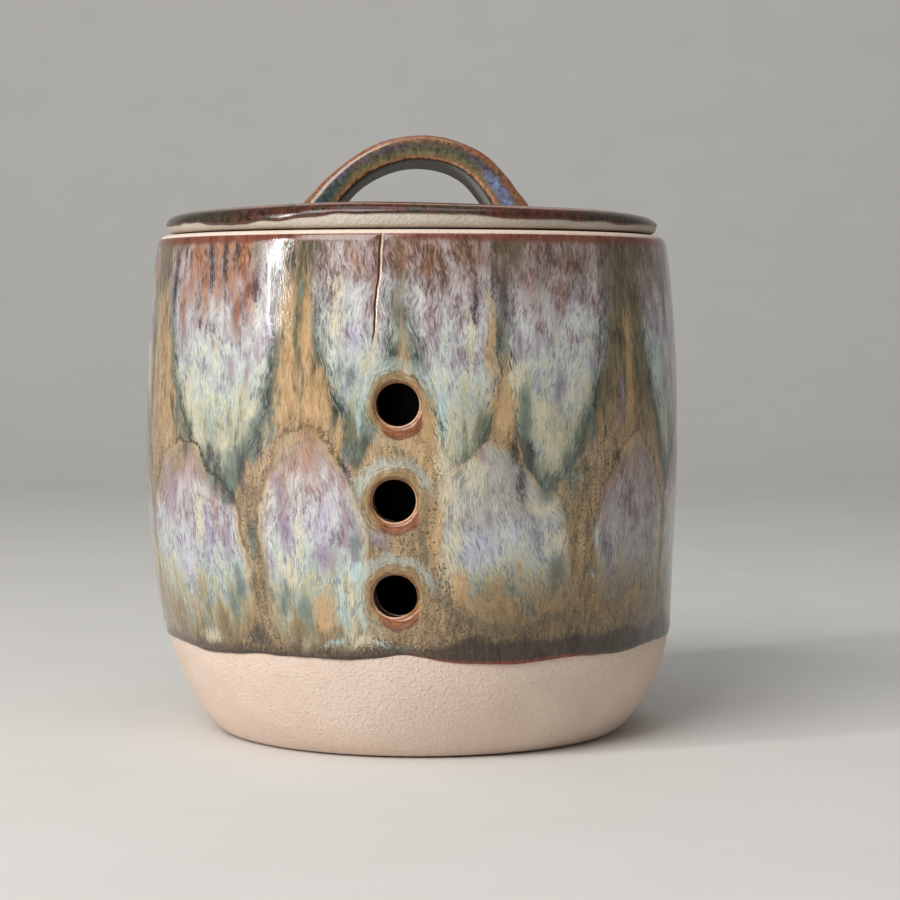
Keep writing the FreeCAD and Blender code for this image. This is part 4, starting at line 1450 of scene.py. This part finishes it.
# Painted reflection and painted light: the shaded underside is a pale grey, as if it mirrored the grey room
under = over((164, 161, 152), (198, 194, 184), mottle)
on_top = through.step(0.3, 0.6)
rounding = (sideways.size() + grain * 0.02).step(0.93, 0.975)
colour = over(over(under, top, on_top), face, rounding)
underside = (1 - on_top) * (1 - rounding)
finish_with(
    shader,
    {
        "Base Color": colour, "Roughness": (0.15 + mottle * 0.08 + underside * 0.3).held(),
        "Normal": relief(mottle * 0.3 + blotch * 0.6, 0.3, 0.15),
        "Coat Weight": (0.4 - underside * 0.35).held(), "Coat Roughness": 0.05,
    },
)
wear(strap, strap_finish)
print("handle glaze:", len(strap_finish.node_tree.nodes), "nodes")

# %% [markdown]
# The liner is a plain dark brown glaze. It is seen only through the holes and with the lid off.

# %% Glaze the inside
liner_finish, place, shader = start_finish("liner_glaze")
pool = streaks(place, 5, 11, 3, 8.0)
pinhole = streaks(place, 0.9, 0.9, 0, 14.0).step(0.7, 0.78)
colour = over((34, 26, 22), (62, 46, 34), ((pool - 0.5) * 2.4 + 0.5).held())
colour = over(colour, (96, 72, 50), pinhole * 0.5)
bump = relief(pool + pinhole * 0.3, 0.3, 0.2)
finish_with(shader, {"Base Color": colour, "Roughness": 0.18 + pool * 0.1, "Normal": bump})
wear(liner, liner_finish)

# %% [markdown]
# ## Put the pieces on the frame
#
# Each piece rides on the body it belongs to and stands for its solid in the frame. The lid, its
# ring, its glaze and the handle lift off together.

# %% Ride and replace
for piece, body, node, slot in (
    (jar, "jar", "jar", "bare_clay"),
    (coat, "jar", "jar_glaze", "outer_glaze"),
    (liner, "jar", "liner_glaze", "liner_glaze"),
    (lid, "lid", "lid", "bare_clay"),
    (ring, "lid", "lid_flange", "bare_clay"),
    (lid_coat, "lid", "lid_glaze", "dark_glaze"),
    (strap, "lid", "handle", "dark_glaze"),
):
    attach(piece, body)
    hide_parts(node)

# %% [markdown]
# ## The floor, the lights and the camera
#
# The jar stands on a pale sweep: a floor that bends up behind it. A tall, narrow soft box on the
# left draws the bright line on the glaze, a large one above and in front of it lights the form, and
# a dim one on the right opens the shadows.

# %% Lay the sweep
bpy.ops.object.select_all(action="DESELECT")
bpy.ops.mesh.primitive_plane_add(size=3.0, location=(0, -0.1, -0.0002))
sweep = bpy.context.object
sweep.name = "pale_sweep"
bpy.ops.object.transform_apply(location=True, rotation=True, scale=True)
pick(sweep, lambda place, vert: place.y > 1000)
bpy.ops.mesh.extrude_region_move(TRANSFORM_OT_translate={"value": (0, 0, 1.6)})
leave()
pick(sweep, lambda place, vert: place.y > 1000 and abs(place.z) < 1)
bpy.ops.mesh.bevel(offset=0.6, segments=12, affect="EDGES")
leave()
bpy.ops.object.shade_smooth()
sweep_finish, place, shader = start_finish("pale_sweep")
dust = streaks(place, 40, 40, 2, 3.0)
finish_with(shader, {"Base Color": over((214, 211, 205), (222, 219, 214), dust), "Roughness": 0.7})
wear(sweep, sweep_finish)
print("sweep:", len(sweep.data.polygons), "faces")

# %% Hang the lights


AIM = Vector((0, 0, 0.06))  # about the middle of the jar


def soft_box(name, turn, rise, distance, size, power):
    """An area light aimed at the jar, from so many degrees round it (towards +X) and up."""
    light = bpy.data.lights.new(name, "AREA")
    light.shape, light.energy = "RECTANGLE", power
    light.size, light.size_y = size
    lamp = bpy.data.objects.new(name, light)
    bpy.context.collection.objects.link(lamp)
    turn, rise = math.radians(turn), math.radians(rise)
    level = math.cos(rise)
    spot = Vector((math.sin(turn) * level, -math.cos(turn) * level, math.sin(rise))) * distance
    lamp.location = spot + AIM
    lamp.rotation_euler = spot.to_track_quat("Z", "Y").to_euler()


# name, degrees round and up, metres away, metres across and up, watts
soft_box("strip_left", -57, 18, 1.2, (0.08, 0.42), 4.6)
soft_box("window_left", -30, 40, 1.4, (0.9, 0.7), 13.5)
soft_box("top", 0, 78, 1.3, (1.0, 1.0), 4.2)
soft_box("fill_right", 62, 22, 1.6, (0.8, 0.8), 0.3)
world = bpy.data.worlds.new("studio")
bpy.context.scene.world = world
world.use_nodes = True
air = world.node_tree.nodes["Background"]
air.inputs["Color"].default_value = (0.86, 0.88, 0.9, 1)
air.inputs["Strength"].default_value = 0.2

# %% Set the camera
LENS, SENSOR = 100.0, 36.0  # millimetres
CAMERA_PLACE = (0.0345, -0.5891, 0.0976)
LOOKS_DOWN, LOOKS_LEFT = 3.18, 2.49  # degrees
lens = bpy.data.cameras.new("camera")
lens.lens, lens.sensor_width = LENS, SENSOR
camera = bpy.data.objects.new("camera", lens)
bpy.context.collection.objects.link(camera)
camera.location = CAMERA_PLACE
camera.rotation_euler = (math.radians(90 - LOOKS_DOWN), 0, math.radians(LOOKS_LEFT))
bpy.context.scene.camera = camera
bpy.context.scene.view_settings.view_transform = "Standard"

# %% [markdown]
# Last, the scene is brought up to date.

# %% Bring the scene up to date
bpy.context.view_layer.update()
